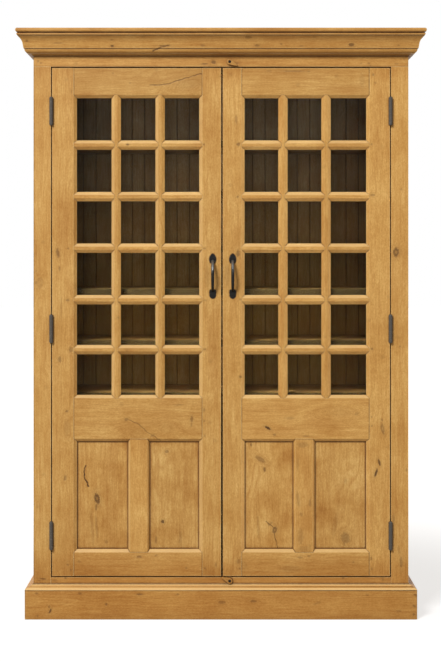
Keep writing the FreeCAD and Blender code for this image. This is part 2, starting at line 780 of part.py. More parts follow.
def upright_bars(plan):
    """Two bars from rail to rail: a bevel each side of a narrow flat, and a rib behind it."""
    body = plan.body("upright_bars")
    half_flat, half_sight = size.bar_flat / 2, size.bar_width / 2
    for first, second in zip(plan.columns, plan.columns[1:]):
        upright(plan, body, (first[1] + second[0]) / 2, half_flat, half_sight, plan.glass_rows())
    for first, second in zip(plan.columns, plan.columns[1:]):
        middle = (first[1] + second[0]) / 2
        for turn in (-1, 1):
            flat, sight = middle + turn * half_flat, middle + turn * half_sight
            plan.upright_bevel(body, flat, sight)
            plan.rebate(body, [(flat, glass_low - bevel, sight, glass_high + bevel)])
    plan.finish("upright_bars", body)


def cross_bars(plan):
    """Short bars between the uprights, mitred into them at both ends."""
    body = plan.body("cross_bars")
    half_flat, half_sight = size.bar_flat / 2, size.bar_width / 2
    middles = [(low[1] + high[0]) / 2 for low, high in zip(plan.rows, plan.rows[1:])]
    for middle in middles:
        sketch = sketch_on(body, "XZ_Plane")
        for opening in plan.glass_columns():
            lower = mitred_edge(middle - half_flat, middle - half_sight, [opening])
            upper = mitred_edge(middle + half_flat, middle + half_sight, [opening])
            draw(sketch, plan.turned(lower + list(reversed(upper))))
        pad(body, sketch, size.door_thickness, reverse=True)
    for middle in middles:
        areas = []
        for turn in (-1, 1):
            flat, sight = middle + turn * half_flat, middle + turn * half_sight
            plan.level_bevel(body, flat, sight)
            areas.append((plan.hinge_flat, flat, plan.meeting_flat, sight))
        plan.rebate(body, areas)
    plan.finish("cross_bars", body)


def door_slab(plan, name, area, margin, start, thickness):
    """A flat sheet that covers an opening of the door and a margin all round."""
    low_across, low_up, high_across, high_up = area
    inner = plan.side * low_across if plan.side > 0 else plan.side * high_across
    corner = (inner - plan.side * hinge_edge - margin, front + start, door_bottom + low_up - margin)
    return box(name, corner, (high_across - low_across + 2 * margin, thickness,
                              high_up - low_up + 2 * margin))


def fillings(plan):
    """The two panels, the eighteen panes and the bead behind each pane."""
    panels = [door_slab(plan, "panel", (low, panel_low, high, panel_high), size.panel_cover,
                        size.glass_setback, size.panel_thickness) for low, high in plan.panels]
    group(plan.name + "_panels", panels)
    panes = []
    beads = []
    behind = size.glass_setback + size.glass_thickness
    for low_up, high_up in plan.rows:
        for low_across, high_across in plan.columns:
            area = (low_across, low_up, high_across, high_up)
            panes.append(door_slab(plan, "pane", area, size.glass_cover, size.glass_setback,
                                   size.glass_thickness))
            outer = door_slab(plan, "bead_blank", area, size.bead_cover, behind, size.bead_thickness)
            inner = door_slab(plan, "bead_window", area, size.bead_cover - size.bead_width,
                              behind - WASTE, size.bead_thickness + 2 * WASTE)
            beads.append(cut("bead", outer, [inner]))
    group(plan.name + "_glass", panes)
    group(plan.name + "_glazing_beads", beads)


# ------------------------------------------------------------------------------------- the hinges


def leaf(name, side, height, moving):
    """One half of a butt hinge: a plate in the gap beside the door, and its knuckles on the axis.

    side is -1 for the left door.  The case's leaf has three knuckles and the door's has two.
    """
    foot = height - size.hinge_height / 2
    pitch = size.hinge_height / KNUCKLES
    edge = hinge_edge if moving else half_opening - size.leaf_thickness
    low_x = edge if side > 0 else -edge - size.leaf_thickness
    axis_x = side * axis_out
    solids = [box(name + "_plate", (low_x, front, foot),
                  (size.leaf_thickness, size.leaf_width, size.hinge_height))]
    radius = size.pin_radius + size.pin_clearance if moving else size.pin_radius
    for step in range(1 if moving else 0, KNUCKLES, 2):
        low = foot + pitch * step + (size.knuckle_clearance / 2 if step else 0)
        trims = size.knuckle_clearance if 0 < step < KNUCKLES - 1 else size.knuckle_clearance / 2
        solids.append(rod(name + "_knuckle", size.barrel_radius, pitch - trims, (axis_x, axis_front, low)))
        solids.append(box(name + "_tab", (low_x, axis_front, low),
                          (size.leaf_thickness, front - axis_front, pitch - trims)))
    whole = fused(name + "_whole", solids)
    tools = [rod(name + "_bore", radius, size.hinge_height + 2 * WASTE,
                 (axis_x, axis_front, foot - WASTE))]
    for step in (-1, 0, 1):
        tools += screw_shapes(name + "_sink", side, height + step * size.screw_spacing, moving)
    return cut(name, whole, tools)


def screw_shapes(name, side, height, moving):
    """The countersunk head and the shank of a hinge screw, driven away from the gap."""
    inner = hinge_edge + size.leaf_thickness if moving else half_opening - size.leaf_thickness
    outward = -side if moving else side
    axis = "X" if outward > 0 else "-X"
    depth = front + size.leaf_width / 2
    start = side * inner
    below = start + outward * size.screw_head_height
    head = taper(name + "_head", size.screw_head_radius, size.screw_radius, size.screw_head_height,
                 (start, depth, height), axis)
    shank = rod(name + "_shank", size.screw_radius, size.screw_length - size.screw_head_height,
                (below, depth, height), axis)
    return [head, shank]


def hinges():
    """Three hinges to each door, their screws, and the pins with a dome at each end."""
    frame_leaves = []
    frame_screws = []
    pins = []
    for name, side in (("left", -1), ("right", 1)):
        door_leaves = []
        door_screws = []
        for height in HINGE_HEIGHTS:
            frame_leaves.append(leaf(name + "_frame_leaf", side, height, moving=False))
            door_leaves.append(leaf(name + "_door_leaf", side, height, moving=True))
            for step in (-1, 0, 1):
                level = height + step * size.screw_spacing
                frame_screws.append(fused("frame_screw", screw_shapes("frame_screw", side, level, False)))
                door_screws.append(fused("door_screw", screw_shapes("door_screw", side, level, True)))
            pins.append(hinge_pin(side, height))
        group(name + "_hinge_leaves", door_leaves)
        group(name + "_hinge_screws", door_screws)
    group("frame_hinge_leaves", frame_leaves)
    group("frame_hinge_screws", frame_screws)
    group("hinge_pins", pins)


def hinge_pin(side, height):
    """A pin through the barrel, closed by a low dome above and below it."""
    foot = height - size.hinge_height / 2
    solids = [rod("pin", size.pin_radius, size.hinge_height, (side * axis_out, axis_front, foot))]
    for turn in (-1, 1):
        dome = doc.addObject("Part::Sphere", "pin_dome")
        bind(dome, "Radius", size.pin_dome_radius)
        rim = Size(math.degrees(math.asin(size.pin_dome_sink.value / size.pin_dome_radius.value)),
                   "asin(sizes.pin_dome_sink / sizes.pin_dome_radius)")
        bind(dome, "Angle1" if turn > 0 else "Angle2", turn * rim)
        place(dome, side * axis_out, axis_front,
              height + turn * (size.hinge_height / 2 - size.pin_dome_sink))
        solids.append(dome)
    return fused("pin_whole", solids)


# ---------------------------------------------------------------------- the handles and the buttons


def handle_nails(middle):
    """The places of a handle's six nails: a triangle in each plate."""
    return [(middle + across, size.handle_middle + up) for across, up in NAIL_PLACES]


def handle_plates(body):
    """A spade above the grip and a lobed plate below it, each coming to a rounded point."""
    for outline, turn in ((UPPER_PLATE, 1), (LOWER_PLATE, -1)):
        sketch = sketch_on(body, "XZ_Plane")
        draw(sketch, [(across, turn * (size.plate_end - inwards)) + tuple(arc)
                      for across, inwards, *arc in outline])
        pad(body, sketch, size.handle_plate_thickness)


def handle_grip(body):
    """A round grip that bows out on an arc, thickest in the middle and thinnest at its foot."""
    rise = size.grip_standoff + size.grip_start
    radius = (size.grip_reach.value ** 2 + rise.value ** 2) / (2 * rise.value)
    bow = "((sizes.grip_reach ^ 2 + %s ^ 2) / (2 * %s))" % (rise.formula, rise.formula)
    half_turn = math.degrees(math.asin(size.grip_reach.value / radius))
    turn_formula = "asin(sizes.grip_reach / %s)" % bow
    sections = []
    steps = 8
    for step in range(steps + 1):
        share = 1 - 2 * step / steps
        angle = Size(half_turn * share, "(%s * %.6g)" % (turn_formula, share))
        turn = math.radians(angle.value)
        y = Size(radius - size.grip_standoff.value - radius * math.cos(turn),
                 "(%s - sizes.grip_standoff - %s * cos(%s))" % (bow, bow, angle.formula))
        z = Size(radius * math.sin(turn), "(%s * sin(%s))" % (bow, angle.formula))
        sketch = sketch_on(body, "XY_Plane", offset=z)
        bind(sketch, "AttachmentOffset.Base.y", y)
        end = size.grip_top_radius if share > 0 else size.grip_foot_radius
        thick = end + (size.grip_middle_radius - end) * (1 - share * share)
        draw_circle(sketch, 0, 0, thick)
        offset = FreeCAD.Placement(V(0, y.value, z.value), FreeCAD.Rotation(V(1, 0, 0), -angle.value))
        sketch.AttachmentOffset = offset
        sections.append(sketch)
    loft = body.newObject("PartDesign::AdditiveLoft", body.Name + "_grip")
    loft.Profile = sections[0]
    loft.Sections = sections[1:]
    return loft


def handle(plan, middle):
    """A forged pull: two nailed plates and a bowed grip, flat behind."""
    body = plan.body("handle")
    handle_plates(body)
    handle_grip(body)
    behind = sketch_on(body, "XZ_Plane")
    draw(behind, rectangle(-size.plate_end, -2 * size.grip_reach, size.plate_end, 2 * size.grip_reach))
    pocket(body, behind, 4 * size.grip_start)
    holes = sketch_on(body, "XZ_Plane")
    for across, up in handle_nails(middle):
        draw_circle(holes, across - middle, up - size.handle_middle, size.nail_radius)
    pocket(body, holes)
    place(body, middle, front, size.handle_middle)
    node(plan.name + "_handle", body)
    nails = []
    for across, up in handle_nails(middle):
        face = front - size.handle_plate_thickness
        shank = rod("nail_shank", size.nail_radius, size.nail_length, (across, face, up), "Y")
        head = taper("nail_head", size.nail_top_radius, size.nail_head_radius, size.nail_head_height,
                     (across, face - size.nail_head_height, up), "Y")
        nails.append(fused("nail", [head, shank]))
    group(plan.name + "_handle_nails", nails)


def turn_button(name, height, angle):
    """A teardrop of wood that turns on its screw; its own X axis runs from the pivot to the tip."""
    body = new_body(name)
    head, tip, reach = size.button_head_radius, size.button_tip_radius, size.button_reach
    lean = math.acos((head.value - tip.value) / reach.value)
    lean_formula = "acos((%s - %s) / %s)" % (head.formula, tip.formula, reach.formula)
    cosine = Size(math.cos(lean), "cos(%s)" % lean_formula)
    sine = Size(math.sin(lean), "sin(%s)" % lean_formula)
    sketch = sketch_on(body, "XZ_Plane")
    draw(sketch, [(head * cosine, head * sine), (reach + tip * cosine, tip * sine, tip),
                  (reach + tip * cosine, -tip * sine), (head * cosine, -head * sine, head),
                  (-head, 0, head)])
    solid = pad(body, sketch, size.button_thickness)
    doc.recompute()
    faces = solid.Shape.Faces
    outer = min(range(len(faces)), key=lambda number: faces[number].CenterOfMass.y)
    rounding = body.newObject("PartDesign::Fillet", body.Name + "_fillet")
    rounding.Base = (solid, ["Face%d" % (outer + 1)])
    bind(rounding, "Radius", size.button_edge)
    hole = sketch_on(body, "XZ_Plane")
    draw_circle(hole, 0, 0, size.button_screw_radius + size.button_running)
    pocket(body, hole)
    body.Placement = FreeCAD.Placement(V(0, 0, 0), FreeCAD.Rotation(V(0, 1, 0), -angle))
    place(body, size.button_pivot, front - size.button_clearance, height)
    node(name, body)


def button_screw(height):
    """A domed screw that holds a turn-button against its rail."""
    face = front - size.button_clearance - size.button_thickness - size.button_clearance
    shank = rod("button_shank", size.button_screw_radius, front + size.button_screw_length - face,
                (size.button_pivot, face, height), "Y")
    head = taper("button_dome", size.button_screw_top, size.button_screw_head,
                 size.button_screw_dome, (size.button_pivot, face - size.button_screw_dome, height), "Y")
    return fused("button_screw", [head, shank])


# ---------------------------------------------------------------------------------------- assembly

case_side("left_side", -1)
case_side("right_side", 1)
face_frame()
case_boards()
back_boards()
mouldings()

left_plan = DoorPlan("left", 1, size.left_door_width, size.left_hinge_stile, size.left_hinge_pane,
                     size.left_divider_shift)
right_plan = DoorPlan("right", -1, right_door_width, size.right_hinge_stile, size.right_hinge_pane,
                      size.right_divider_shift)
left_handle = size.left_door_width - hinge_edge - size.handle_inset_left
right_handle = hinge_edge - right_door_width + size.handle_inset_right
for plan, handle_middle in ((left_plan, left_handle), (right_plan, right_handle)):
    hinge_stile(plan)
    meeting_stile(plan, handle_middle)
    rails(plan)
    panel_divider(plan)
    upright_bars(plan)
    cross_bars(plan)
    fillings(plan)
    handle(plan, handle_middle)
hinges()
turn_button("top_turn_button", size.top_button_height, TOP_BUTTON_ANGLE)
turn_button("bottom_turn_button", size.bottom_button_height, BOTTOM_BUTTON_ANGLE)
group("button_screws", [button_screw(size.top_button_height), button_screw(size.bottom_button_height)])

doc.recompute()

# ----------------------------------------------------------------------------------------- output

for thing in doc.Objects:
    if "Invalid" in thing.State or "Error" in thing.State:
        raise RuntimeError("%s (%s) failed: %s" % (thing.Name, thing.Label, thing.State))
os.makedirs("parts", exist_ok=True)
for name, thing in nodes.items():
    if thing.Shape.isNull() or not thing.Shape.isValid():
        raise RuntimeError(name + " has no valid shape")
    thing.Shape.exportStep("parts/%s.step" % name)
    bounds = thing.Shape.BoundBox
    print("%-22s %3d solids  x %8.1f %8.1f  y %8.1f %8.1f  z %8.1f %8.1f" % (
        name, len(thing.Shape.Solids), bounds.XMin, bounds.XMax, bounds.YMin, bounds.YMax,
        bounds.ZMin, bounds.ZMax))
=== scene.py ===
"""Finishes and stage for the waxed pine bookcase with glazed doors.

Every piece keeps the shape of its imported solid.  This file gives each board its own grain, knots and
wear, and makes the stained inside, the glass, the black iron, the steel and the plain studio.
Lengths are in metres unless a name or a description says otherwise.
"""

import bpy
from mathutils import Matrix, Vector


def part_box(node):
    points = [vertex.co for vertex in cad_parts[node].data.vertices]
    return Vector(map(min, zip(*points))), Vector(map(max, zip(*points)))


bl_info = {
    "name": "Pine bookcase",
    "version": (1, 0, 0),
    "blender": (4, 5, 0),
    "location": "3D View > Sidebar > Bookcase",
    "description": "Finishes a glazed pine bookcase piece by piece",
    "category": "Object",
}

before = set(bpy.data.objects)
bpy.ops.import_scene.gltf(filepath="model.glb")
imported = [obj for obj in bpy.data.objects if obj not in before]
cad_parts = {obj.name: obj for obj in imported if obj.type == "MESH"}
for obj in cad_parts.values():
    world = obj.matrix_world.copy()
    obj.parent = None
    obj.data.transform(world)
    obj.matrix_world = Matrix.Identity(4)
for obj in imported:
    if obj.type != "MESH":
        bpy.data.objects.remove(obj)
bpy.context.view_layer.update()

import math
import random

import bpy
from bpy.props import FloatProperty, FloatVectorProperty, PointerProperty
from mathutils import Vector

MM = 0.001
DOORS = ("left", "right")
PANE_COLUMNS, PANE_ROWS = 3, 6
BAR_WIDTH = 0.033
BACK_BOARDS = 15
AXES = {"X": 0, "Y": 1, "Z": 2}
# Stands for a board's size along an axis on which the piece isn't split.
UNSPLIT = 100.0

# ---------- knots and cracks

# What a mark does to the wood round it: how far the grain bends, as a share of the mark's width,
# and how much paler its heart is than its rim.
KINDS = {
    "knot": (1.1, 0.45), "pin knot": (0.8, 0.0), "swirl": (0.9, 0.0), "ring": (0.9, 0.6),
    "hole": (0.0, 0.0), "bruise": (0.0, 0.0), "streak": (0.0, 0.0),
}
# The marks on each piece, by kind: across, up, width and height in millimetres, darkness, and for some
# a turn in degrees.
MARKS = {
    "crown_front": {
        "hole": ((-378, 1996, 12, 7, 0.75), (618, 1998, 10, 6, 0.35), (210, 2003, 7, 6, 0.4),
            (-379, 2017, 13, 6, 0.35), (-535, 1965, 14, 7, 0.75), (-674, 2013, 9, 7, 0.5)),
        "pin knot": ((454, 2000, 20, 12, 0.65), (95, 2025, 23, 9, 0.45)),
        "bruise": ((-195, 1997, 40, 6, 0.55), (126, 1998, 18, 8, 0.5), (-63, 1998, 18, 8, 0.35),
            (281, 1996, 18, 5, 0.3), (324, 2026, 14, 6, 0.25)),
        "streak": ((-566, 2006, 40, 4, 0.3), (-271, 2027, 18, 5, 0.25)),
    },
    "plinth_front": {
        "hole": ((-594, 30, 7, 17, 0.75, -25), (-399, 53, 9, 8, 0.5), (-151, 88, 11, 6, 0.35),
            (677, 86, 13, 8, 0.45, -25), (673, 47, 14, 8, 0.4, -30), (672, 18, 10, 9, 0.4),
            (-642, 92, 11, 8, 0.4), (-491, 91, 14, 8, 0.4), (-639, 13, 8, 8, 0.3)),
        "pin knot": ((-598, 45, 9, 11, 0.35, -20), (113, 64, 23, 8, 0.45), (3, 60, 25, 11, 0.35)),
        "bruise": ((-283, 88, 20, 7, 0.5), (510, 86, 12, 7, 0.25), (335, 57, 30, 8, 0.2, 20),
            (618, 30, 21, 7, 0.25)),
    },
    "top_frame_rail": {
        "pin knot": ((-26, 1944, 18, 14, 0.6),),
        "streak": ((-58, 1938, 28, 6, 0.5),),
        "bruise": ((53, 1941, 18, 7, 0.25), (614, 1938, 17, 6, 0.25)),
        "hole": ((-640, 1947, 6, 8, 0.4), (-630, 1941, 7, 7, 0.35), (517, 1940, 8, 7, 0.3),
            (491, 1939, 7, 6, 0.25), (642, 1956, 10, 7, 0.35)),
    },
    "bottom_frame_rail": {
        "hole": ((-544, 138, 8, 6, 0.5), (427, 138, 7, 6, 0.4), (566, 136, 8, 14, 0.3)),
        "bruise": ((-580, 130, 18, 8, 0.3),),
    },
    "left_frame_stile": {
        "hole": ((-647, 1172, 6, 13, 0.4), (-646, 1213, 6, 6, 0.3)),
        "ring": ((-634, 1172, 24, 40, 0.2),),
        "streak": ((-624, 136, 26, 6, 0.5, -8),),
        "bruise": ((-636, 130, 12, 6, 0.3),),
    },
    "right_frame_stile": {
        "knot": ((613, 1279, 20, 32, 0.75, -8),),
        "pin knot": ((631, 195, 10, 39, 0.4),),
        "swirl": ((623, 237, 12, 32, 0.2, 10),),
        "hole": ((627, 949, 7, 7, 0.3), (631, 1499, 7, 8, 0.25), (650, 517, 6, 11, 0.3)),
        "streak": ((604, 346, 10, 35, 0.3),),
    },
    "left_hinge_stile": {
        "pin knot": ((-571, 1277, 12, 31, 0.5, 8), (-525, 938, 13, 20, 0.4), (-564, 904, 13, 20, 0.4),
            (-545, 489, 9, 20, 0.4, -10)),
        "hole": ((-539, 723, 11, 7, 0.5, 20), (-536, 1111, 13, 9, 0.4), (-534, 1292, 7, 6, 0.35),
            (-536, 185, 8, 7, 0.4), (-525, 167, 6, 10, 0.4)),
        "swirl": ((-538, 663, 24, 60, 0.12),),
        "streak": ((-565, 1223, 6, 18, 0.35), (-559, 1088, 5, 77, 0.2), (-523, 1842, 5, 18, 0.3)),
    },
    "right_hinge_stile": {
        "hole": ((543, 507, 8, 30, 0.85, -18), (554, 543, 8, 23, 0.8, 18), (564, 692, 5, 10, 0.45),
            (529, 940, 9, 9, 0.4), (526, 207, 7, 13, 0.4), (533, 1900, 8, 10, 0.4), (527, 1657, 7, 7, 0.35),
            (540, 1872, 7, 7, 0.3), (528, 703, 5, 6, 0.4), (528, 671, 6, 6, 0.35), (528, 171, 6, 11, 0.3)),
        "knot": ((566, 661, 11, 38, 0.5, 12),),
        "pin knot": ((531, 1479, 17, 9, 0.35),),
    },
    "left_meeting_stile": {
        "hole": ((-59, 1656, 7, 8, 0.4), (-59, 728, 7, 14, 0.35), (-56, 173, 7, 8, 0.35),
            (-57, 1292, 10, 7, 0.3), (-56, 1111, 12, 7, 0.25), (-58, 689, 6, 7, 0.3), (-57, 636, 6, 8, 0.3)),
        "pin knot": ((-57, 939, 13, 8, 0.35),),
        "streak": ((-18, 184, 7, 18, 0.28),),
        # The two tall bruises beside the handle are painted shadows of its grip.
        "bruise": ((-48, 1198, 18, 84, 0.12), (-11, 1198, 16, 84, 0.08)),
    },
    "right_meeting_stile": {
        "pin knot": ((60, 1275, 13, 24, 0.55), (61, 1657, 13, 12, 0.5), (59, 1473, 10, 9, 0.35),
            (62, 197, 15, 17, 0.3)),
        "hole": ((68, 843, 10, 9, 0.5), (68, 1114, 8, 7, 0.35), (65, 172, 7, 7, 0.35)),
        "streak": ((53, 1743, 9, 31, 0.3),),
        # The two tall bruises beside the handle are painted shadows of its grip.
        "bruise": ((22, 1198, 18, 84, 0.16), (59, 1200, 14, 84, 0.06)),
    },
    "left_top_rail": {
        "swirl": ((-112, 1868, 90, 34, 0.1, 12),),
        "hole": ((-378, 1906, 7, 7, 0.2), (-318, 1871, 7, 7, 0.2)),
    },
    "right_top_rail": {
        "streak": ((255, 1913, 80, 6, 0.35), (494, 1882, 17, 56, 0.12)),
        "bruise": ((306, 1912, 15, 7, 0.25), (168, 1913, 21, 6, 0.2)),
    },
    "left_mid_rail": {
        "pin knot": ((-102, 694, 10, 25, 0.45), (-331, 694, 15, 10, 0.4, 30)),
        "hole": ((-103, 675, 7, 14, 0.3),),
        "bruise": ((-239, 637, 17, 8, 0.35, 20),),
        "swirl": ((-291, 644, 70, 40, 0.06), (-190, 665, 60, 40, 0.05)),
        "streak": ((-147, 745, 31, 5, 0.25, 4),),
    },
    "right_mid_rail": {
        "pin knot": ((164, 664, 22, 9, 0.9, -30),),
        "hole": ((187, 640, 10, 8, 0.4),),
        "bruise": ((241, 698, 35, 10, 0.2), (475, 713, 15, 11, 0.2)),
        "streak": ((298, 635, 21, 6, 0.3),),
        "swirl": ((417, 720, 110, 30, 0.05),),
    },
    "left_bottom_rail": {
        "pin knot": ((-287, 213, 20, 9, 0.45),),
        "bruise": ((-497, 196, 13, 9, 0.25), (-227, 218, 12, 6, 0.3, 20)),
        "hole": ((-121, 173, 8, 8, 0.3),),
    },
    "right_bottom_rail": {
        "pin knot": ((277, 211, 21, 7, 0.3),),
        "bruise": ((308, 215, 11, 6, 0.35), (242, 170, 80, 24, 0.16), (79, 181, 28, 35, 0.14)),
        "hole": ((464, 194, 8, 7, 0.3),),
    },
    "left_panels": {
        "knot": ((-434, 414, 18, 39, 0.85, 8),),
        "streak": ((-437, 385, 8, 24, 0.5), (-436, 315, 9, 80, 0.22, 3), (-228, 270, 7, 28, 0.35),
            (-142, 277, 12, 50, 0.22), (-452, 315, 12, 130, 0.16, 4)),
        "pin knot": ((-204, 334, 12, 12, 0.8), (-190, 580, 14, 12, 0.45, 20)),
        "bruise": ((-402, 263, 12, 12, 0.25),),
    },
    "right_panels": {
        "swirl": ((139, 552, 42, 16, 0.4, -32),),
        "pin knot": ((153, 516, 9, 16, 0.55), (437, 277, 32, 39, 0.42, 20)),
        "hole": ((106, 604, 7, 11, 0.5),),
        "knot": ((189, 305, 15, 22, 0.75, -20),),
        "bruise": ((174, 326, 24, 8, 0.3, 40), (437, 476, 12, 18, 0.2)),
        "streak": ((131, 315, 9, 85, 0.2, 3), (433, 266, 9, 35, 0.35), (400, 322, 18, 85, 0.12, -8)),
    },
    "right_panel_divider": {
        "bruise": ((279, 283, 21, 56, 0.22), (281, 362, 12, 14, 0.24), (287, 605, 40, 20, 0.25),
            (291, 241, 50, 21, 0.2)),
        "streak": ((270, 414, 12, 56, 0.26, 8), (312, 401, 10, 28, 0.3), (269, 537, 9, 49, 0.2)),
    },
    "left_cross_bars": {
        "hole": ((-327, 1656, 10, 7, 0.65),),
    },
}
# The cracks in each piece: width in millimetres, darkness, and the points that it runs through.
CRACKS = {
    "crown_front": ((5.0, 0.8, ((-236, 1979), (-212, 1992), (-181, 1998))),),
    "left_panels": ((6.0, 1.0, ((-475, 531), (-481, 508), (-479, 492), (-463, 458))),),
    "right_panels": ((4.0, 0.65, ((158, 335), (184, 312), (198, 242))),),
    "left_mid_rail": ((3.5, 0.5, ((-332, 697), (-287, 676), (-252, 645), (-213, 621))),),
    "left_top_rail": ((5.0, 0.6, ((-248, 1864), (-203, 1866), (-161, 1875), (-126, 1887), (-66, 1904))),),
}

# Painted shadow lines in the quirks of the mouldings: height above the floor, width, and darkness.
SHADOW_LINES = {
    "crown": ((2030.6, 3.6, 0.6), (1971.5, 3.0, 0.25), (1966.0, 5.0, 0.7)),
    "plinth": ((99.5, 3.5, 0.35), (118.5, 4.0, 0.6)),
}
# How far to either side of the middle they run.
SHADOW_LINE_END = 1000

# ---------- settings


def colour(name, description, value):
    """A colour that a user can pick, as linear red, green and blue."""
    return FloatVectorProperty(name=name, description=description, subtype="COLOR", size=3,
                               min=0.0, max=1.0, default=value)


def share(name, description, value):
    return FloatProperty(name=name, description=description, subtype="FACTOR", min=0.0, max=1.0,
                         default=value)


def length(name, description, value):
    return FloatProperty(name=name, description=description, subtype="DISTANCE", unit="LENGTH",
                         min=0.0, default=value)


class WaxedPine(bpy.types.PropertyGroup):
    early: colour("Early wood", "The pale wood between the rings", (0.585, 0.325, 0.092))
    late: colour("Late wood", "The darker line of each ring", (0.40, 0.173, 0.035))
    knot: colour("Knots", "Knots, cracks and worm holes", (0.060, 0.022, 0.008))
    # The old wax darkens joints, and is also a painted shade in corners and creases.
    wax: colour("Old wax", "Dark wax in corners and joints", (0.120, 0.046, 0.012))
    # The worn colour goes on worn arrises, partly a painted highlight there, and is a painted highlight on
    # the slopes that face the light.
    worn: colour("Worn arrises", "Rubbed edges and slopes", (0.83, 0.585, 0.265))
    ring: length("Ring width", "The distance between two rings", 0.0036)
    figure: share("Figure", "How strongly the rings show", 0.34)
    roughness: share("Roughness", "Roughness of the waxed surface", 0.45)
    arris: length("Arris", "How far the edges of a board are rounded", 0.0012)
    # painted highlight: how far the slopes that face the light are paled
    pale: share("Pale slopes", "How far the slopes of the bars and frames are rubbed", 0.45)


class StainedPine(bpy.types.PropertyGroup):
    early: colour("Early wood", "The stained wood between the rings", (0.66, 0.40, 0.185))
    late: colour("Late wood", "The darker line of each ring", (0.46, 0.275, 0.12))
    knot: colour("Knots", "Knots in the stained boards", (0.020, 0.011, 0.006))
    # Here too the old wax is also a painted shade in the corners and creases of the inside.
    wax: colour("Old wax", "Dark wax in the corners of the inside", (0.32, 0.19, 0.085))
    worn: colour("Worn arrises", "Rubbed edges of the stained boards", (0.15, 0.09, 0.045))
    ring: length("Ring width", "The distance between two rings", 0.0036)
    figure: share("Figure", "How strongly the rings show", 0.5)
    roughness: share("Roughness", "Roughness of the stained surface", 0.55)
    arris: length("Arris", "How far the edges of a board are rounded", 0.001)


class Metals(bpy.types.PropertyGroup):
    iron: colour("Black iron", "The finish of the handles, nails and screws", (0.010, 0.009, 0.008))
    # The bare iron also paints the highlight on the upper part of the grips.
    bare_and_lit_iron: colour("Bare iron", "Where hands have rubbed the handles", (0.17, 0.17, 0.165))
    steel: colour("Hinge steel", "The hinges' finish", (0.088, 0.079, 0.069))
    bare_steel: colour("Bare steel", "Where the hinges are rubbed", (0.24, 0.22, 0.19))


class Glass(bpy.types.PropertyGroup):
    clear: colour("Tint", "The colour of the lower panes", (0.88, 0.87, 0.58))
    # painted light: a tint for the cooler light that the upper panes catch
    cool: colour("Cool tint", "The colour of the top panes, which catch a cooler light", (0.82, 0.94, 1.0))
    shade: share("Shade", "How much of the lamps' light the panes let in", 0.88)
    bend: FloatProperty(name="Refraction", description="Index of refraction", min=1.0, max=2.0, default=1.12)


class Studio(bpy.types.PropertyGroup):
    floor: colour("Floor", "The pale floor", (0.45, 0.45, 0.45))
    near_glow: share("Lift nearby", "How far the floor under the bookcase is lifted to white in view", 0.72)
    far_glow: share("Lift far off", "How far the floor away from it is lifted to white in view", 1.0)
    sky: share("Sky light", "Strength of the even light from all round", 0.24)
    sky_colour: colour("Sky colour", "The warm colour of the even light", (1.0, 0.82, 0.60))
    key: FloatProperty(name="Key light", description="Power of the large light high on the left",
                       unit="POWER", min=0.0, default=1090.0)
    distance: length("Distance", "From the camera to the doors", 5.2)
    eye: length("Eye height", "Height of the camera", 1.2694)
    lens: FloatProperty(name="Lens", description="Focal length in millimetres", min=1.0, default=80.8)
    rise: FloatProperty(name="Rise", description="Upright shift of the lens", default=-0.1148)
    slide: FloatProperty(name="Slide", description="Sideways shift of the lens", default=-0.0007)


SETTINGS = {"bookcase_pine": WaxedPine, "bookcase_stain": StainedPine, "bookcase_metals": Metals,
            "bookcase_glass": Glass, "bookcase_studio": Studio}

# ---------- node wiring


class Wire:
    """What a node gives out.  Wires add up and multiply as numbers and vectors do."""

    def __init__(self, socket):
        self.socket, self.tree = socket, socket.id_data

    def work(self, operation, *others, clamp=False):
        return worked(self.tree, self.socket.type != "VALUE", operation, (self, *others), clamp)

    def __add__(self, other):
        return self.work("ADD", other)

    def __sub__(self, other):
        return self.work("SUBTRACT", other)

    def __mul__(self, other):
        return self.work("MULTIPLY", other)

    def __truediv__(self, other):
        return self.work("DIVIDE", other)

    def __pow__(self, other):
        return self.work("POWER", other)

    def __rsub__(self, number):
        return worked(self.tree, False, "SUBTRACT", (number, self))

    def __rpow__(self, number):
        return worked(self.tree, False, "POWER", (number, self))

    def scaled(self, by):
        """A vector or a colour, times a number."""
        return nodes(self.tree, "ShaderNodeVectorMath", {"Vector": self, "Scale": by},
                     operation="SCALE")["Vector"]


def feed(made, inputs):
    """Links a node's inputs to wires, or sets their values."""
    for name, value in inputs.items():
        if isinstance(value, Wire):
            value.tree.links.new(value.socket, made.inputs[name])
        else:
            made.inputs[name].default_value = value


def put(tree, kind, inputs=None, **options):
    """Adds a node.  Each input takes a value or a wire."""
    made = tree.nodes.new(kind)
    for name, value in options.items():
        setattr(made, name, value)
    feed(made, inputs or {})
    return made


def nodes(tree, kind, inputs=None, **options):
    """Adds a node and gives its outputs by name, as wires."""
    return {socket.name: Wire(socket) for socket in put(tree, kind, inputs, **options).outputs}


def worked(tree, is_vector, operation, values, clamp=False):
    """The result of a Math node, or of a Vector Math node."""
    made = put(tree, "ShaderNodeVectorMath" if is_vector else "ShaderNodeMath", dict(enumerate(values)),
               operation=operation)
    if clamp:
        made.use_clamp = True
    gives_vector = is_vector and operation not in ("LENGTH", "DOT_PRODUCT")
    return Wire(made.outputs["Vector" if gives_vector else "Value"])


def most(first, *others):
    for other in others:
        first = first.work("MAXIMUM", other)
    return first


def parts(vector):
    """The X, Y and Z of a vector."""
    return tuple(nodes(vector.tree, "ShaderNodeSeparateXYZ", {"Vector": vector}).values())


def joined(tree, *values):
    return nodes(tree, "ShaderNodeCombineXYZ", dict(zip(AXES, values)))["Vector"]


def mixed(factor, first, second):
    """Two colours mixed: sockets 6 and 7 are the node's colour inputs and 2 its colour output."""
    return Wire(put(factor.tree, "ShaderNodeMix", {0: factor, 6: first, 7: second},
                    data_type="RGBA").outputs[2])


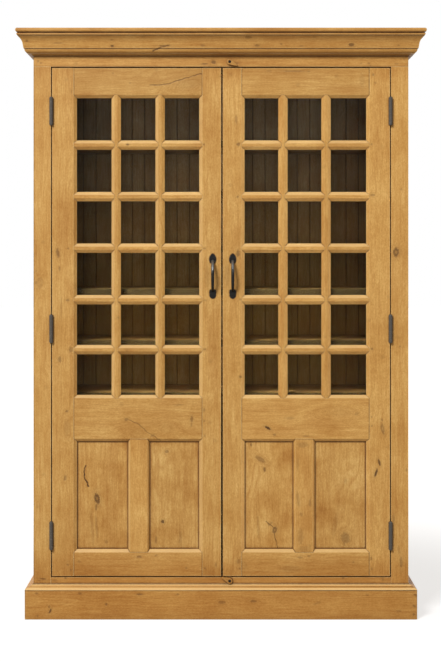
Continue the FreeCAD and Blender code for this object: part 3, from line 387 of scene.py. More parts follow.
def noise(vector, scale, detail=2.0, roughness=0.5, coloured=False):
    made = nodes(vector.tree, "ShaderNodeTexNoise", {"Vector": vector, "Scale": scale, "Detail": detail,
                                                     "Roughness": roughness})
    return made["Color" if coloured else "Fac"]


def between(value, low, high, to_low=0.0, to_high=1.0):
    """A smooth step from one level to another."""
    return nodes(value.tree, "ShaderNodeMapRange", {
        "Value": value, "From Min": low, "From Max": high, "To Min": to_low, "To Max": to_high},
        interpolation_type="SMOOTHSTEP")["Result"]


def swing(value, amount):
    """A noise value turned into a factor round 1."""
    return value * (2 * amount) + (1 - amount)


# ---------- shared effects

# Each shared group: its name, the sockets that it takes and gives, by kind, and what wires it.
EFFECTS = []
HALF = (0.5, 0.5, 0.5)
# Keeps what lies across and up, and drops the depth.
ON_FACE = (1.0, 0.0, 1.0)
# Where a painted shade fades, and how: from one place to another, and the levels there.  The wood is darker
# near the floor and from just under the crown up; each pane towards its top and sides; the outer panes too.
FOOT_SHADE = (0.15, 0.24, 0.72, 1.0)
HEAD_SHADE = (1.86, 1.93, 1.0, 0.84)
PANE_TOP = (0.075, -0.075, 0.68, 1.0)
PANE_LEFT = (-0.062, -0.01, 0.78, 1.0)
PANE_RIGHT = (0.062, 0.02, 0.86, 1.0)
OUTER_PANES = (0.32, 0.50, 1.0, 0.78)
# The heights between which the panes' tint turns cooler, a painted cooler light on the upper panes.
COOLER = (1.00, 1.75)


def effect(name, takes, gives):
    """Keeps the function that follows as one of the shared groups."""
    def keep(wire_up):
        EFFECTS.append((name, takes, gives, wire_up))
        return wire_up
    return keep


def shared_effects():
    """Builds the shared groups once."""
    for name, takes, gives, wire_up in EFFECTS:
        if name in bpy.data.node_groups:
            continue
        tree = bpy.data.node_groups.new(name, "ShaderNodeTree")
        for way, kinds in (("INPUT", takes), ("OUTPUT", gives)):
            for kind, labels in kinds.items():
                for label in labels.split(", "):
                    tree.interface.new_socket(label, in_out=way, socket_type="NodeSocket" + kind)
        given = wire_up(tree, nodes(tree, "NodeGroupInput"))
        put(tree, "NodeGroupOutput", given)


def use_group(tree, name, inputs):
    return nodes(tree, "ShaderNodeGroup", inputs, node_tree=bpy.data.node_groups[name])


@effect("separate boards", {"Vector": "Vector, Start, Pitch, Shift"}, {"Vector": "Vector", "Float": "Tone"})
def separate_boards(tree, take):
    """Tells the boards of one piece apart, and gives each a place of its own in the trunk."""
    steps = (take["Vector"] - take["Start"]) / take["Pitch"]
    middle = steps.work("FLOOR") + HALF
    lot = nodes(tree, "ShaderNodeTexWhiteNoise", {"Vector": middle}, noise_dimensions="3D")
    local = (steps - middle) * take["Pitch"]
    return {"Vector": local + (lot["Color"] - HALF) * take["Shift"], "Tone": lot["Value"]}


@effect("mitred turn", {"Vector": "Vector", "Float": "Half Width, Front"}, {"Vector": "Vector"})
def mitred_turn(tree, take):
    """Turns the grain of a moulding that goes round a front corner, along the mitre."""
    x, y, z = parts(take["Vector"])
    on_side = (x.work("ABSOLUTE") - take["Half Width"]).work("GREATER_THAN", take["Front"] - y)
    choice = put(tree, "ShaderNodeMix", {0: on_side, 4: take["Vector"], 5: joined(tree, y, x, z)},
                 data_type="VECTOR")
    return {"Vector": Wire(choice.outputs[1])}


@effect("wood mark",
        {"Vector": "Vector, Middle, Half Size", "Float": "Dark, Bend, Turn, Depth, Pull, Hollow"},
        {"Float": "Dark, Bend"})
def wood_mark(tree, take):
    """One knot, hole or bruise, added to the marks before it."""
    local = nodes(tree, "ShaderNodeVectorRotate", {
        "Vector": take["Vector"] - take["Middle"], "Angle": take["Turn"]}, rotation_type="Y_AXIS")["Vector"]
    near = (local / take["Half Size"] * ON_FACE).work("LENGTH")
    edge = near + (noise(take["Vector"], 230.0, 3.0) * 1.1 - 0.55)
    heart = between(edge, 0.7, 0.2) * take["Hollow"]
    halo = between(edge, 2.8, 0.9) * 0.16
    whole = most(between(edge, 1.35, 0.6) - heart, halo)
    bend = 0.62 ** (near * near) * take["Pull"] + take["Bend"]
    return {"Dark": most(take["Dark"], whole * take["Depth"]), "Bend": bend}


@effect("wood crack", {"Vector": "Vector, Start, End", "Float": "Dark, Half Width, Depth, Wobble"},
        {"Float": "Dark"})
def wood_crack(tree, take):
    """One straight run of a crack or of a painted shadow line, added to the marks before it."""
    wobble = (noise(take["Vector"], 55.0, 3.0, coloured=True) - HALF) * ON_FACE
    flat = take["Vector"] * ON_FACE + wobble.scaled(take["Wobble"])
    run = take["End"] - take["Start"]
    out = flat - take["Start"]
    along = out.work("DOT_PRODUCT", run).work("DIVIDE", run.work("DOT_PRODUCT", run), clamp=True)
    off = (out - run.scaled(along)).work("LENGTH")
    line = between(off / take["Half Width"], 1.4, 0.2)
    broken = between(noise(take["Vector"], 120.0), 0.25, 0.6, 0.7, 1.0)
    return {"Dark": most(take["Dark"], line * (take["Depth"] * broken))}


@effect("board margins", {"Vector": "Vector, Low, High, Strength", "Float": "Reach"}, {"Float": "Seam"})
def board_margins(tree, take):
    """The dirty edges and end joints of a board, near the faces of its own box."""
    inside = (take["Vector"] - take["Low"]).work("MINIMUM", take["High"] - take["Vector"])
    seams = [between(part / take["Reach"], 1.0, 0.3) * weight
             for part, weight in zip(parts(inside), parts(take["Strength"]))]
    patchy = between(noise(take["Vector"], 70.0, 3.0, 0.6), 0.3, 0.65, 0.45, 1.0)
    return {"Seam": most(*seams) * patchy}


@effect("growth rings", {"Vector": "Vector", "Float": "Ring, Bend"}, {"Float": "Late, Tone"})
def growth_rings(tree, take):
    """Rings round a wandering pith along Z: the late wood of each ring, and a tone for each ring."""
    slow = take["Vector"] * (1.0, 1.0, 0.25)
    wander = noise(slow, 5.0, 2.0, coloured=True) - HALF
    ripple = noise(slow, 30.0, 2.0, coloured=True) - HALF
    place = take["Vector"] + wander.scaled(0.09) + ripple.scaled(0.008)
    count = ((place * (1.0, 1.0, 0.0)).work("LENGTH") + take["Bend"]) / take["Ring"]
    part = count.work("FRACT")
    late = part ** 1.6 * between(part, 1.0, 0.72)
    lot = nodes(tree, "ShaderNodeTexWhiteNoise", {"W": count.work("FLOOR")}, noise_dimensions="1D")["Value"]
    return {"Late": late * swing(lot, 0.7), "Tone": lot}


@effect("wood surface", {
    "Vector": "Vector, Place", "Color": "Early, Late, Knot, Wax, Worn",
    "Float": "Ring, Figure, Dark, Bend, Tone, Blotch, Roughness, Edge, Pale, Hollow, Crease, Seam"},
    {"Color": "Color", "Float": "Roughness, Height"})
def wood_surface(tree, take):
    """Colour, roughness and height of a waxed or stained board."""
    rings = use_group(tree, "growth rings", {name: take[name] for name in ("Vector", "Ring", "Bend")})
    grain = take["Vector"] + joined(tree, take["Bend"], take["Bend"])
    broad = noise(grain * (1.0, 1.0, 0.14), 20.0, 2.0)
    streak = noise(grain * (1.0, 1.0, 0.05), 75.0, 2.0, 0.6)
    fibre = noise(grain * (1.0, 1.0, 0.07), 190.0, 4.0, 0.75)
    pores = noise(take["Vector"] * (1.0, 1.0, 0.5), 300.0, 3.0, 0.7)
    cloud = noise(take["Place"], 7.0, 4.0, 0.65)

    # rings show most where the wood is warm, and fade where the wax lies thick
    strength = take["Figure"] * between(cloud, 0.4, 0.65, 0.35, 1.35)
    wood = mixed(rings["Late"].work("MULTIPLY", strength, clamp=True), take["Early"], take["Late"])
    wood = mixed(between(broad, 0.42, 0.75) * 0.38, wood, take["Late"])
    light = swing(rings["Tone"], 0.03) * swing(streak, 0.14) * swing(fibre, 0.46) * swing(pores, 0.43)
    light = light * ((cloud - 0.5) * (take["Blotch"] * 2.0) + 1.0)
    up = parts(take["Place"])[2]
    # painted shade: darker near the floor and from just under the crown up
    light = light * between(up, *FOOT_SHADE) * between(up, *HEAD_SHADE)
    wood = wood * joined(tree, light ** 0.7, light ** 1.1, light ** 1.7)
    # painted highlight: slopes that face the key light are paled towards the worn colour
    wood = mixed(take["Pale"], wood.scaled(take["Tone"]), take["Worn"])

    # scattered worm holes and small bruises
    cells = nodes(tree, "ShaderNodeTexVoronoi", {"Vector": take["Place"], "Scale": 17.0})
    rare = nodes(tree, "ShaderNodeSeparateColor", {"Color": cells["Color"]})
    hole = between(cells["Distance"], 0.045, 0.02) * between(rare["Red"], 0.80, 0.84)
    bruise = between(cells["Distance"], 0.2, 0.03) * between(rare["Green"], 0.88, 0.94)
    dark = most(take["Dark"], hole * 0.5, bruise * 0.14)

    # worn arrises, partly a painted highlight
    patchy = noise(take["Place"], 26.0, 3.0, 0.6)
    worn = take["Edge"].work("MULTIPLY", between(patchy, 0.3, 0.62, 0.5, 1.0), clamp=True)
    wood = mixed(worn, wood, take["Worn"])
    # dark wax in the joints and seams, and a painted shade in the corners and creases that Hollow and Crease
    # mark
    waxed = most(take["Hollow"] * 0.22, take["Crease"] * 0.9, take["Seam"])
    waxed = waxed.work("MULTIPLY", between(patchy, 0.25, 0.6, 0.75, 1.0), clamp=True)
    wood = mixed(waxed, wood, take["Wax"])

    rough = take["Roughness"] * swing(fibre, 0.22)
    return {"Color": mixed(dark, wood, take["Knot"]),
            "Roughness": (dark * 0.25).work("ADD", rough, clamp=True),
            "Height": fibre * 0.5 + pores * 0.35 + rings["Late"] * 0.3 + cloud * 1.2 - dark * 2.5}


@effect("edges and hollows", {"Float": "Radius, Crease Reach, Hollow Reach, Left, Right"},
        {"Float": "Edge, Slope, Lee, Hollow, Crease"})
def edges_and_hollows(tree, take):
    """Where a surface is a rubbed edge, a slope, lies in a corner, or closes in a crease.

    Slope counts the slopes that face up in full, and the others by the shares Left and Right, so that it
    follows how a slope faces the key light: it masks a painted highlight.  Lee is how far a slope faces the
    right.  Edge marks worn arrises, partly a painted highlight; Hollow and Crease mark corners and creases
    for dark wax and painted shade.
    """
    rounded = nodes(tree, "ShaderNodeBevel", {"Radius": take["Radius"]}, samples=4)["Normal"]
    turn = 1.0 - rounded.work("DOT_PRODUCT", nodes(tree, "ShaderNodeNewGeometry")["Normal"])
    near = nodes(tree, "ShaderNodeAmbientOcclusion", {"Distance": take["Crease Reach"]}, samples=8)["AO"]
    far = nodes(tree, "ShaderNodeAmbientOcclusion", {"Distance": take["Hollow Reach"]}, samples=6)["AO"]
    across, deep, high = parts(nodes(tree, "ShaderNodeTexCoord")["Normal"])
    facing = deep.work("ABSOLUTE")
    sloping = between(facing, 0.97, 0.88) * between(facing, 0.3, 0.5)
    up = high.work("MULTIPLY", 1.9, clamp=True)
    left = across.work("MULTIPLY", -1.9, clamp=True)
    right = across.work("MULTIPLY", 1.9, clamp=True)
    rubbed = left * take["Left"] + (right * take["Right"] + up)
    return {"Edge": between(turn, 0.01, 0.12) * between(near, 0.6, 0.85),
            "Slope": sloping.work("MULTIPLY", rubbed, clamp=True), "Lee": sloping * right,
            "Hollow": between(far, 0.98, 0.35), "Crease": between(near, 0.97, 0.72)}


@effect("metal surface",
        {"Vector": "Vector", "Color": "Finish, Bare", "Float": "Grain, Roughness, Edge, Rubbed"},
        {"Color": "Color", "Float": "Metallic, Roughness, Height"})
def metal_surface(tree, take):
    """Colour, roughness and height of hammered or drawn metal that is rubbed bare on its edges."""
    dents = nodes(tree, "ShaderNodeTexVoronoi", {"Vector": take["Vector"], "Scale": take["Grain"]},
                  feature="SMOOTH_F1")["Distance"]
    fine = noise(take["Vector"], 900.0, 3.0, 0.6)
    patchy = noise(take["Vector"], 110.0, 3.0, 0.6)
    # the Rubbed input is hand wear that also stands for a painted highlight on the grips
    rubbed = most(take["Edge"] * 0.35, between(patchy + take["Rubbed"], 0.58, 0.85))
    return {"Color": mixed(rubbed, take["Finish"], take["Bare"]), "Metallic": rubbed * 0.8,
            "Roughness": take["Roughness"] * swing(patchy, 0.3), "Height": fine * 0.25 + dents}


@effect("glass surface", {"Vector": "Vector, In Pane", "Color": "Clear, Cool"},
        {"Color": "Color", "Float": "Roughness, Height"})
def glass_surface(tree, take):
    """A pane's tint, with a painted shade towards its top and sides, faint dust and the ripple of old glass.
    """
    across, _, up = parts(take["Vector"])
    pane_across, _, pane_up = parts(take["In Pane"])
    # painted shade: each pane is dimmer towards its top and sides, and the outer panes are dimmer still
    painted_pane_shade = between(pane_up, *PANE_TOP) * between(pane_across, *PANE_LEFT)
    painted_pane_shade = painted_pane_shade * between(pane_across, *PANE_RIGHT) * between(across.work("ABSOLUTE"), *OUTER_PANES)
    # painted light: the upper panes are tinted cooler for the cooler light they catch
    tint = mixed(between(up, *COOLER), take["Clear"], take["Cool"])
    dust = between(noise(take["Vector"], 24.0, 3.0, 0.6), 0.45, 0.8, 0.0, 0.06)
    return {"Color": tint.scaled(painted_pane_shade), "Roughness": dust, "Height": noise(take["Vector"], 7.0, 1.0)}


# ---------- materials

# How far the tenons of a door's rails reach into the stiles.
TENON = 0.045
# How deep the lamps' light falls on a shelf from its front edge, which a painted shade darkens.
LIT_DEPTH = 0.07
# How far the dark wax and painted shade in corners spread: on mouldings and bars, on a door's rails, on
# pieces that carry hinges, handles or buttons, and where there is hardly any.
WIDE_CREASE, RAIL_CREASE, SHORT_CREASE, FINE_CREASE = 0.009, 0.006, 0.004, 0.002
CORNER_REACH = 0.05
MARGIN_REACH = 0.005
# How wide the worn band along an edge is, for each unit of the arris: wear, and partly a painted
# highlight.
WORN_AND_LIT_BAND = 2.4
WOOD_SHEEN, METAL_SHEEN = 0.22, 0.15
# How deep the grain of the wood and the ripples of the glass are.
GRAIN_DEPTH, RIPPLE_DEPTH = 0.0004, 0.0006
CRACK_WOBBLE = 0.012
# How far behind a board the heart of the trunk lies, how far to its side as a share of its width (up to
# the widest), and how far up or down the trunk it was cut.
HEART_DEPTH, HEART_SIDE, WIDEST_BOARD, TRUNK_REACH = (0.035, 0.11), 0.35, 0.14, 6.0
# How far apart in the trunk the boards of one piece were cut, across and along, and how their tones vary.
ACROSS_TRUNK, ALONG_TRUNK, TONE_SWING = 0.06, 9.0, 0.07
GRAIN_TURNS = {"X": (0.0, -math.pi / 2, 0.0), "Y": (math.pi / 2, 0.0, 0.0), "Z": (0.0, 0.0, 0.0)}


def new_material(name):
    """A material with one Principled BSDF: the material, its tree and that node."""
    shared_effects()
    material = bpy.data.materials.new(name)
    material.use_nodes = True
    tree = material.node_tree
    tree.nodes.clear()
    shader = tree.nodes.new("ShaderNodeBsdfPrincipled")
    put(tree, "ShaderNodeOutputMaterial", {"Surface": Wire(shader.outputs["BSDF"])})
    return material, tree, shader


def raised(shader, height, distance):
    """Feeds a height to the shader's normal."""
    feed(shader, nodes(height.tree, "ShaderNodeBump", {"Height": height, "Distance": distance}))


def clothe(piece, material):
    """Gives a piece one material on all its faces."""
    piece.data.materials.clear()
    piece.data.materials.append(material)


def pith_offset(lot, size, grain):
    """Where the heart of the trunk lies, seen from the middle of a board cut from it."""
    across = [axis for axis in range(3) if axis != AXES[grain]]
    thin = min(across, key=lambda axis: size[axis])
    wide = max(across, key=lambda axis: size[axis])
    offset = Vector((0.0, 0.0, 0.0))
    offset[thin] = lot.uniform(*HEART_DEPTH)
    offset[wide] = lot.uniform(-HEART_SIDE, HEART_SIDE) * min(size[wide], WIDEST_BOARD)
    offset[AXES[grain]] = lot.uniform(-TRUNK_REACH, TRUNK_REACH)
    return offset


def showing(name):
    """The part of a piece's box that isn't hidden in a joint or behind the plinth."""
    low, high = (corner.copy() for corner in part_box(name))
    if name.endswith("_rail") and name.startswith(DOORS):
        low.x += TENON
        high.x -= TENON
    if name in ("bottom_frame_rail", "left_frame_stile", "right_frame_stile"):
        low.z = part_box("plinth_cap")[1].z
    return low, high


def pine(piece, finish, grain="Z", tone=1.0, boards=None, mitred=False, margins=(),
         rubbed=(0.0, 0.0, 0.0), lee=0.0, crease=WIDE_CREASE, blotch=0.46, front_shade=None, ring=1.0,
         figure=1.0, arris=1.0):
    """One piece's own cut of pine.

    boards is (start, pitch) where the piece holds several boards.  margins says how dirty the board is
    beside its ends and edges, across and up (only beside the low one where it is negative).
    The shares for its slopes that face up, left and right say how far those are paled, a painted highlight
    by the way they face the key light, and the lee share how much lighter those that face the right are
    than the rest, a painted light.  crease is how far dark wax and painted shade spread from its corners,
    blotch how uneven its colour is, and the front tone the tone of its front edge, a painted shade where
    the lamps light the front of a shelf, where the tone isn't the same all over.  ring, figure and arris
    are shares of the finish's own.
    """
    name = piece.name
    lot = random.Random(name)
    low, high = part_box(name)
    middle, size = (low + high) / 2, high - low
    material, tree, shader = new_material("pine " + name.replace("_", " "))
    place = nodes(tree, "ShaderNodeTexCoord")["Object"]
    local, tones = place, tone
    if boards:
        start, pitch = boards
        shift = Vector([ACROSS_TRUNK] * 3)
        shift[AXES[grain]] = ALONG_TRUNK
        apart = use_group(tree, "separate boards", {"Vector": place, "Start": start, "Pitch": pitch,
                                                    "Shift": shift})
        local = apart["Vector"]
        tones = swing(apart["Tone"], TONE_SWING) * tone
        size = Vector([min(pair) for pair in zip(size, pitch)])
        middle = Vector((0.0, 0.0, 0.0))
    # painted shade: the part of the front that the lamps light is darkened
    if front_shade is not None:
        tones = between(parts(place)[1], low.y, low.y + LIT_DEPTH, front_shade, tone)
    if mitred:
        local = use_group(tree, "mitred turn", {
            "Vector": place, "Half Width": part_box("right_frame_stile")[1].x,
            "Front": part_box("left_frame_stile")[0].y})["Vector"]
    local = local - (middle + pith_offset(lot, size, grain))
    turned = nodes(tree, "ShaderNodeMapping", {"Vector": local, "Rotation": GRAIN_TURNS[grain]})
    dark, bend = marked(tree, place, name)
    seam = 0.0
    if margins:
        across, up = margins
        seen_low, seen_high = showing(name)
        clean = Vector((UNSPLIT * (across < 0), 0.0, UNSPLIT * (up < 0)))
        seam = use_group(tree, "board margins", {
            "Vector": place, "Low": seen_low, "High": seen_high + clean,
            "Strength": (abs(across), 0.0, abs(up)), "Reach": MARGIN_REACH})["Seam"]
    up, left, right = rubbed
    worn = use_group(tree, "edges and hollows", {
        "Radius": WORN_AND_LIT_BAND * arris * finish.arris, "Crease Reach": crease, "Hollow Reach": CORNER_REACH,
        "Left": left / up if up else 0.0, "Right": right / up if up else 0.0})
    # painted light: slopes that face the right, away from the key light, are made lighter
    if lee:
        tones = (worn["Lee"] * lee + 1.0) * tones
    colours = {label.capitalize(): (*getattr(finish, label), 1.0)
               for label in ("early", "late", "knot", "wax", "worn")}
    look = use_group(tree, "wood surface", {
        **colours, "Vector": turned["Vector"], "Place": place, "Ring": ring * finish.ring,
        "Figure": figure * finish.figure, "Dark": dark, "Bend": bend, "Tone": tones, "Blotch": blotch,
        "Roughness": finish.roughness, "Edge": worn["Edge"], "Pale": worn["Slope"] * up if up else 0.0,
        "Hollow": worn["Hollow"], "Crease": worn["Crease"], "Seam": seam})
    feed(shader, {"Base Color": look["Color"], "Roughness": look["Roughness"],
                  "Specular IOR Level": WOOD_SHEEN})
    raised(shader, look["Height"], GRAIN_DEPTH)
    clothe(piece, material)


def marked(tree, place, name):
    """The knots, holes, cracks and painted shadow lines of a piece: how dark it is and how far the grain
    bends.
    """
    dark, bend = 0.0, 0.0
    for kind, places in MARKS.get(name, {}).items():
        pull, hollow = KINDS[kind]
        for x, z, width, height, depth, *turn in places:
            made = use_group(tree, "wood mark", {
                "Vector": place, "Dark": dark, "Bend": bend, "Middle": (x * MM, 0.0, z * MM),
                "Half Size": (width / 2 * MM, 1.0, height / 2 * MM), "Turn": math.radians(sum(turn)),
                "Depth": depth, "Pull": pull * width * MM, "Hollow": hollow})
            dark, bend = made["Dark"], made["Bend"]
    runs = [(width, depth, start, end, CRACK_WOBBLE) for width, depth, points in CRACKS.get(name, ())
            for start, end in zip(points, points[1:])]
    # painted shadow lines along the quirks of the mouldings
    runs += [(width, depth, (-SHADOW_LINE_END, height), (SHADOW_LINE_END, height), 0.0)
             for height, width, depth in SHADOW_LINES.get(name.split("_")[0], ())]
    for width, depth, start, end, wobble in runs:
        dark = use_group(tree, "wood crack", {
            "Vector": place, "Dark": dark, "Start": (start[0] * MM, 0.0, start[1] * MM),
            "End": (end[0] * MM, 0.0, end[1] * MM), "Half Width": width / 2 * MM, "Depth": depth,
            "Wobble": wobble})["Dark"]
    return dark, bend


# How far a handle's plate and its grip stand off the door, and how bare hands rub the grip, which also
# paints the highlight on its upper part.
PLATE, GRIP, HAND_WEAR_AND_HIGHLIGHT = 0.004, 0.007, 0.42


def metal(name, finish, bare, grain, roughness, dents, hands=None):
    """Iron or steel for several pieces; hands is (low, high), the heights between which it is rubbed."""
    material, tree, shader = new_material(name)
    place = nodes(tree, "ShaderNodeTexCoord")["Object"]
    rubbed = 0.0
    # hand wear on the grip, which also stands for a painted highlight on its upper part
    if hands:
        _, deep, up = parts(place)
        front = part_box("left_frame_stile")[0].y
        rubbed = between(up, *hands, 0.0, HAND_WEAR_AND_HIGHLIGHT) * between(deep, front - PLATE, front - GRIP)
    worn = use_group(tree, "edges and hollows", {"Radius": 0.001, "Crease Reach": 0.002,
                                                 "Hollow Reach": 0.006})
    look = use_group(tree, "metal surface", {
        "Vector": place, "Finish": (*finish, 1.0), "Bare": (*bare, 1.0), "Grain": grain,
        "Roughness": roughness, "Edge": worn["Edge"], "Rubbed": rubbed})
    feed(shader, {"Base Color": look["Color"], "Metallic": look["Metallic"],
                  "Roughness": look["Roughness"], "Specular IOR Level": METAL_SHEEN})
    raised(shader, look["Height"], dents)
    return material


def window_glass(piece, finish):
    """Clear glass for one door, which lets a share of the lamps' light reach the shelves."""
    material, tree, shader = new_material("window glass " + piece.name)
    place = nodes(tree, "ShaderNodeTexCoord")["Object"]
    start, pitch = side_by_side(piece.name, "X", PANE_COLUMNS)
    low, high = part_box(piece.name)
    start.z, pitch.z = low.z, (high.z - low.z) / PANE_ROWS
    cell = use_group(tree, "separate boards", {"Vector": place, "Start": start, "Pitch": pitch,
                                               "Shift": (0.0, 0.0, 0.0)})
    look = use_group(tree, "glass surface", {"Vector": place, "In Pane": cell["Vector"],
                                             "Clear": (*finish.clear, 1.0), "Cool": (*finish.cool, 1.0)})
    feed(shader, {"Transmission Weight": 1.0, "IOR": finish.bend, "Base Color": look["Color"],
                  "Roughness": look["Roughness"]})
    raised(shader, look["Height"], RIPPLE_DEPTH)
    let_in = nodes(tree, "ShaderNodeBsdfTransparent", {"Color": (*[finish.shade] * 3, 1.0)})
    either = nodes(tree, "ShaderNodeMixShader", {
        0: nodes(tree, "ShaderNodeLightPath")["Is Shadow Ray"], 1: Wire(shader.outputs["BSDF"]),
        2: let_in["BSDF"]})
    output = next(node for node in tree.nodes if node.type == "OUTPUT_MATERIAL")
    feed(output, {"Surface": either["Shader"]})
    clothe(piece, material)


# ---------- rounded arrises

# Edges that turn further than this are arrises.
SHARP = math.radians(28)


def rejoining():
    """Geometry nodes that rejoin a solid's faces, so that its edges can be rounded."""
    name = "rejoined faces"
    if name in bpy.data.node_groups:
        return bpy.data.node_groups[name]
    tree = bpy.data.node_groups.new(name, "GeometryNodeTree")
    tree.is_modifier = True
    for way in ("INPUT", "OUTPUT"):
        tree.interface.new_socket("Geometry", in_out=way, socket_type="NodeSocketGeometry")
    source = nodes(tree, "NodeGroupInput")["Geometry"]
    whole = nodes(tree, "GeometryNodeMergeByDistance", {"Geometry": source, "Distance": 1e-6})["Geometry"]
    angle = nodes(tree, "GeometryNodeInputMeshEdgeAngle")["Unsigned Angle"]
    sharp = nodes(tree, "FunctionNodeCompare", {"A": angle, "B": SHARP}, data_type="FLOAT",
                  operation="GREATER_THAN")["Result"]
    shaded = nodes(tree, "GeometryNodeSetMeshNormal", {
        "Mesh": whole, "Remove Custom": True, "Edge Sharpness": sharp}, mode="SHARPNESS")["Mesh"]
    put(tree, "NodeGroupOutput", {"Geometry": shaded})
    return tree


def soften(piece, width, segments=2):
    """Rounds the arrises of a piece by a hair, as sanding and wear do."""
    piece.modifiers.new("rejoined faces", "NODES").node_group = rejoining()
    bevel = piece.modifiers.new("rounded arrises", "BEVEL")
    bevel.width = width
    bevel.segments = segments
    bevel.limit_method = "ANGLE"
    bevel.angle_limit = SHARP
    bevel.harden_normals = True


# ---------- pieces

# Each piece's grain, its tone, and how dirty its margins are across and up, where they are.
# The right-hand pieces' higher tones are partly a painted light that evens out the key light's fall-off.
CASE_PIECES = {
    "left_side": ("Z", 0.96), "right_side": ("Z", 0.98), "top_board": ("X", 0.93),
    "left_frame_stile": ("Z", 0.99, -0.5, -0.6), "right_frame_stile": ("Z", 1.07, 0.0, -0.6),
    "top_frame_rail": ("X", 1.04, 0.3, -0.4), "bottom_frame_rail": ("X", 1.06, 0.4, -0.8),
}
MOULDINGS = {
    "crown_front": ("X", 1.0, 0.2, 0.0), "crown_left": ("Y", 0.99), "crown_right": ("Y", 0.99),
    "plinth_front": ("X", 1.09, 0.4, 0.0), "plinth_left": ("Y", 1.09), "plinth_right": ("Y", 1.09),
}
# The same for the pieces of a door, whose tones follow.
DOOR_PIECES = {
    "hinge_stile": ("Z",), "meeting_stile": ("Z",), "top_rail": ("X", 0.6, 0.0),
    "mid_rail": ("X", 0.6, 0.0), "bottom_rail": ("X", 0.6, 0.0), "panel_divider": ("Z", 0.0, 0.5),
}
# The right door's higher tones are partly a painted light that evens out the key light's fall-off.
DOOR_TONES = {
    "left": {"hinge_stile": 0.98, "meeting_stile": 0.98, "top_rail": 0.88, "mid_rail": 0.97,
             "bottom_rail": 1.02, "panel_divider": 1.05, "panels": 1.0, "bars": 1.02},
    "right": {"hinge_stile": 1.06, "meeting_stile": 1.0, "top_rail": 0.93, "mid_rail": 1.05,
              "bottom_rail": 1.01, "panel_divider": 1.06, "panels": 1.03, "bars": 1.07},
}
# How far each door's slopes that face up, left and right are paled, as shares of the finish's own, a
# painted highlight by the way they face the key light, and how much lighter the last are than the rest, a
# painted light, on the bars and on the frame.
SLOPE_LIGHT = {"left": ((1.0, 0.6, 0.0), 0.2, 0.0), "right": ((1.0, 0.0, 0.4), 0.4, 0.4)}
INSIDE_PIECES = ("bottom_board", "door_stop", "shelf_battens", "back_boards") + tuple(
    "shelf_%d" % number for number in range(1, 7))


def node(name):
    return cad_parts[name]


def side_by_side(name, axis, count):
    """(start, pitch) for equal boards that lie side by side along one axis of a piece."""
    low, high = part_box(name)
    start, pitch = Vector([-UNSPLIT / 2] * 3), Vector([UNSPLIT] * 3)
    start[AXES[axis]] = low[AXES[axis]]
    pitch[AXES[axis]] = (high[AXES[axis]] - low[AXES[axis]]) / count
    return start, pitch


def cross_bar_cells(name, columns=PANE_COLUMNS, rows=PANE_ROWS - 1):
    """(start, pitch) for the short bars of a door, whose rows stand apart."""
    low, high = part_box(name)
    start, pitch = side_by_side(name, "X", columns)
    pitch.z = (high.z - low.z - BAR_WIDTH) / (rows - 1)
    start.z = low.z - (pitch.z - BAR_WIDTH) / 2
    return start, pitch


class BOOKCASE_OT_case(bpy.types.Operator):
    """Finish the sides, the top and the face frame in waxed pine"""
    bl_idname = "bookcase.case"
    bl_label = "Case"

    def execute(self, context):
        finish = context.scene.bookcase_pine
        for name, (grain, tone, *margins) in CASE_PIECES.items():
            boards = side_by_side(name, "Y", 3) if name in ("left_side", "right_side", "top_board") else None
            crease = FINE_CREASE if name == "top_frame_rail" else SHORT_CREASE
            pine(node(name), finish, grain, tone, boards, margins=margins, crease=crease)
            soften(node(name), finish.arris)
        return {"FINISHED"}


class BOOKCASE_OT_mouldings(bpy.types.Operator):
    """Finish the crown, the plinth and the plinth's cap in waxed pine"""
    bl_idname = "bookcase.mouldings"
    bl_label = "Mouldings"

    def execute(self, context):
        finish = context.scene.bookcase_pine
        for name, (grain, tone, *margins) in MOULDINGS.items():
            crease = FINE_CREASE if name.startswith("plinth") else WIDE_CREASE
            pine(node(name), finish, grain, tone, margins=margins, crease=crease)
        # painted highlight: the cap's slopes that face up are paled by more than the finish's share
        pine(node("plinth_cap"), finish, "X", 1.36, mitred=True, rubbed=(1.6 * finish.pale, 0.0, 0.0),
             crease=FINE_CREASE)
        for name in (*MOULDINGS, "plinth_cap"):
            soften(node(name), 0.7 * finish.arris if name.startswith("crown") else finish.arris)
        return {"FINISHED"}


class BOOKCASE_OT_door_frames(bpy.types.Operator):
    """Finish the stiles, the rails and the dividers of both doors in waxed pine"""
    bl_idname = "bookcase.door_frames"
    bl_label = "Door frames"

    def execute(self, context):
        finish = context.scene.bookcase_pine
        for door in DOORS:
            # the slopes take a painted highlight and a painted light by the way they face
            shares, _, lee = SLOPE_LIGHT[door]
            for part, (grain, *margins) in DOOR_PIECES.items():
                piece = node(door + "_" + part)
                pine(piece, finish, grain, DOOR_TONES[door][part], margins=margins,
                     rubbed=[finish.pale * share for share in shares], lee=lee,
                     crease=SHORT_CREASE if part.endswith("stile") else RAIL_CREASE)
                soften(piece, finish.arris)
        return {"FINISHED"}


class BOOKCASE_OT_panels(bpy.types.Operator):
    """Finish the four flat panels, each of its own width of pine"""
    bl_idname = "bookcase.panels"
    bl_label = "Panels"

    def execute(self, context):
        finish = context.scene.bookcase_pine
        for door in DOORS:
            name = door + "_panels"
            pine(node(name), finish, "Z", DOOR_TONES[door]["panels"], side_by_side(name, "X", 2),
                 blotch=0.8, ring=1.6, figure=1.4)
        return {"FINISHED"}


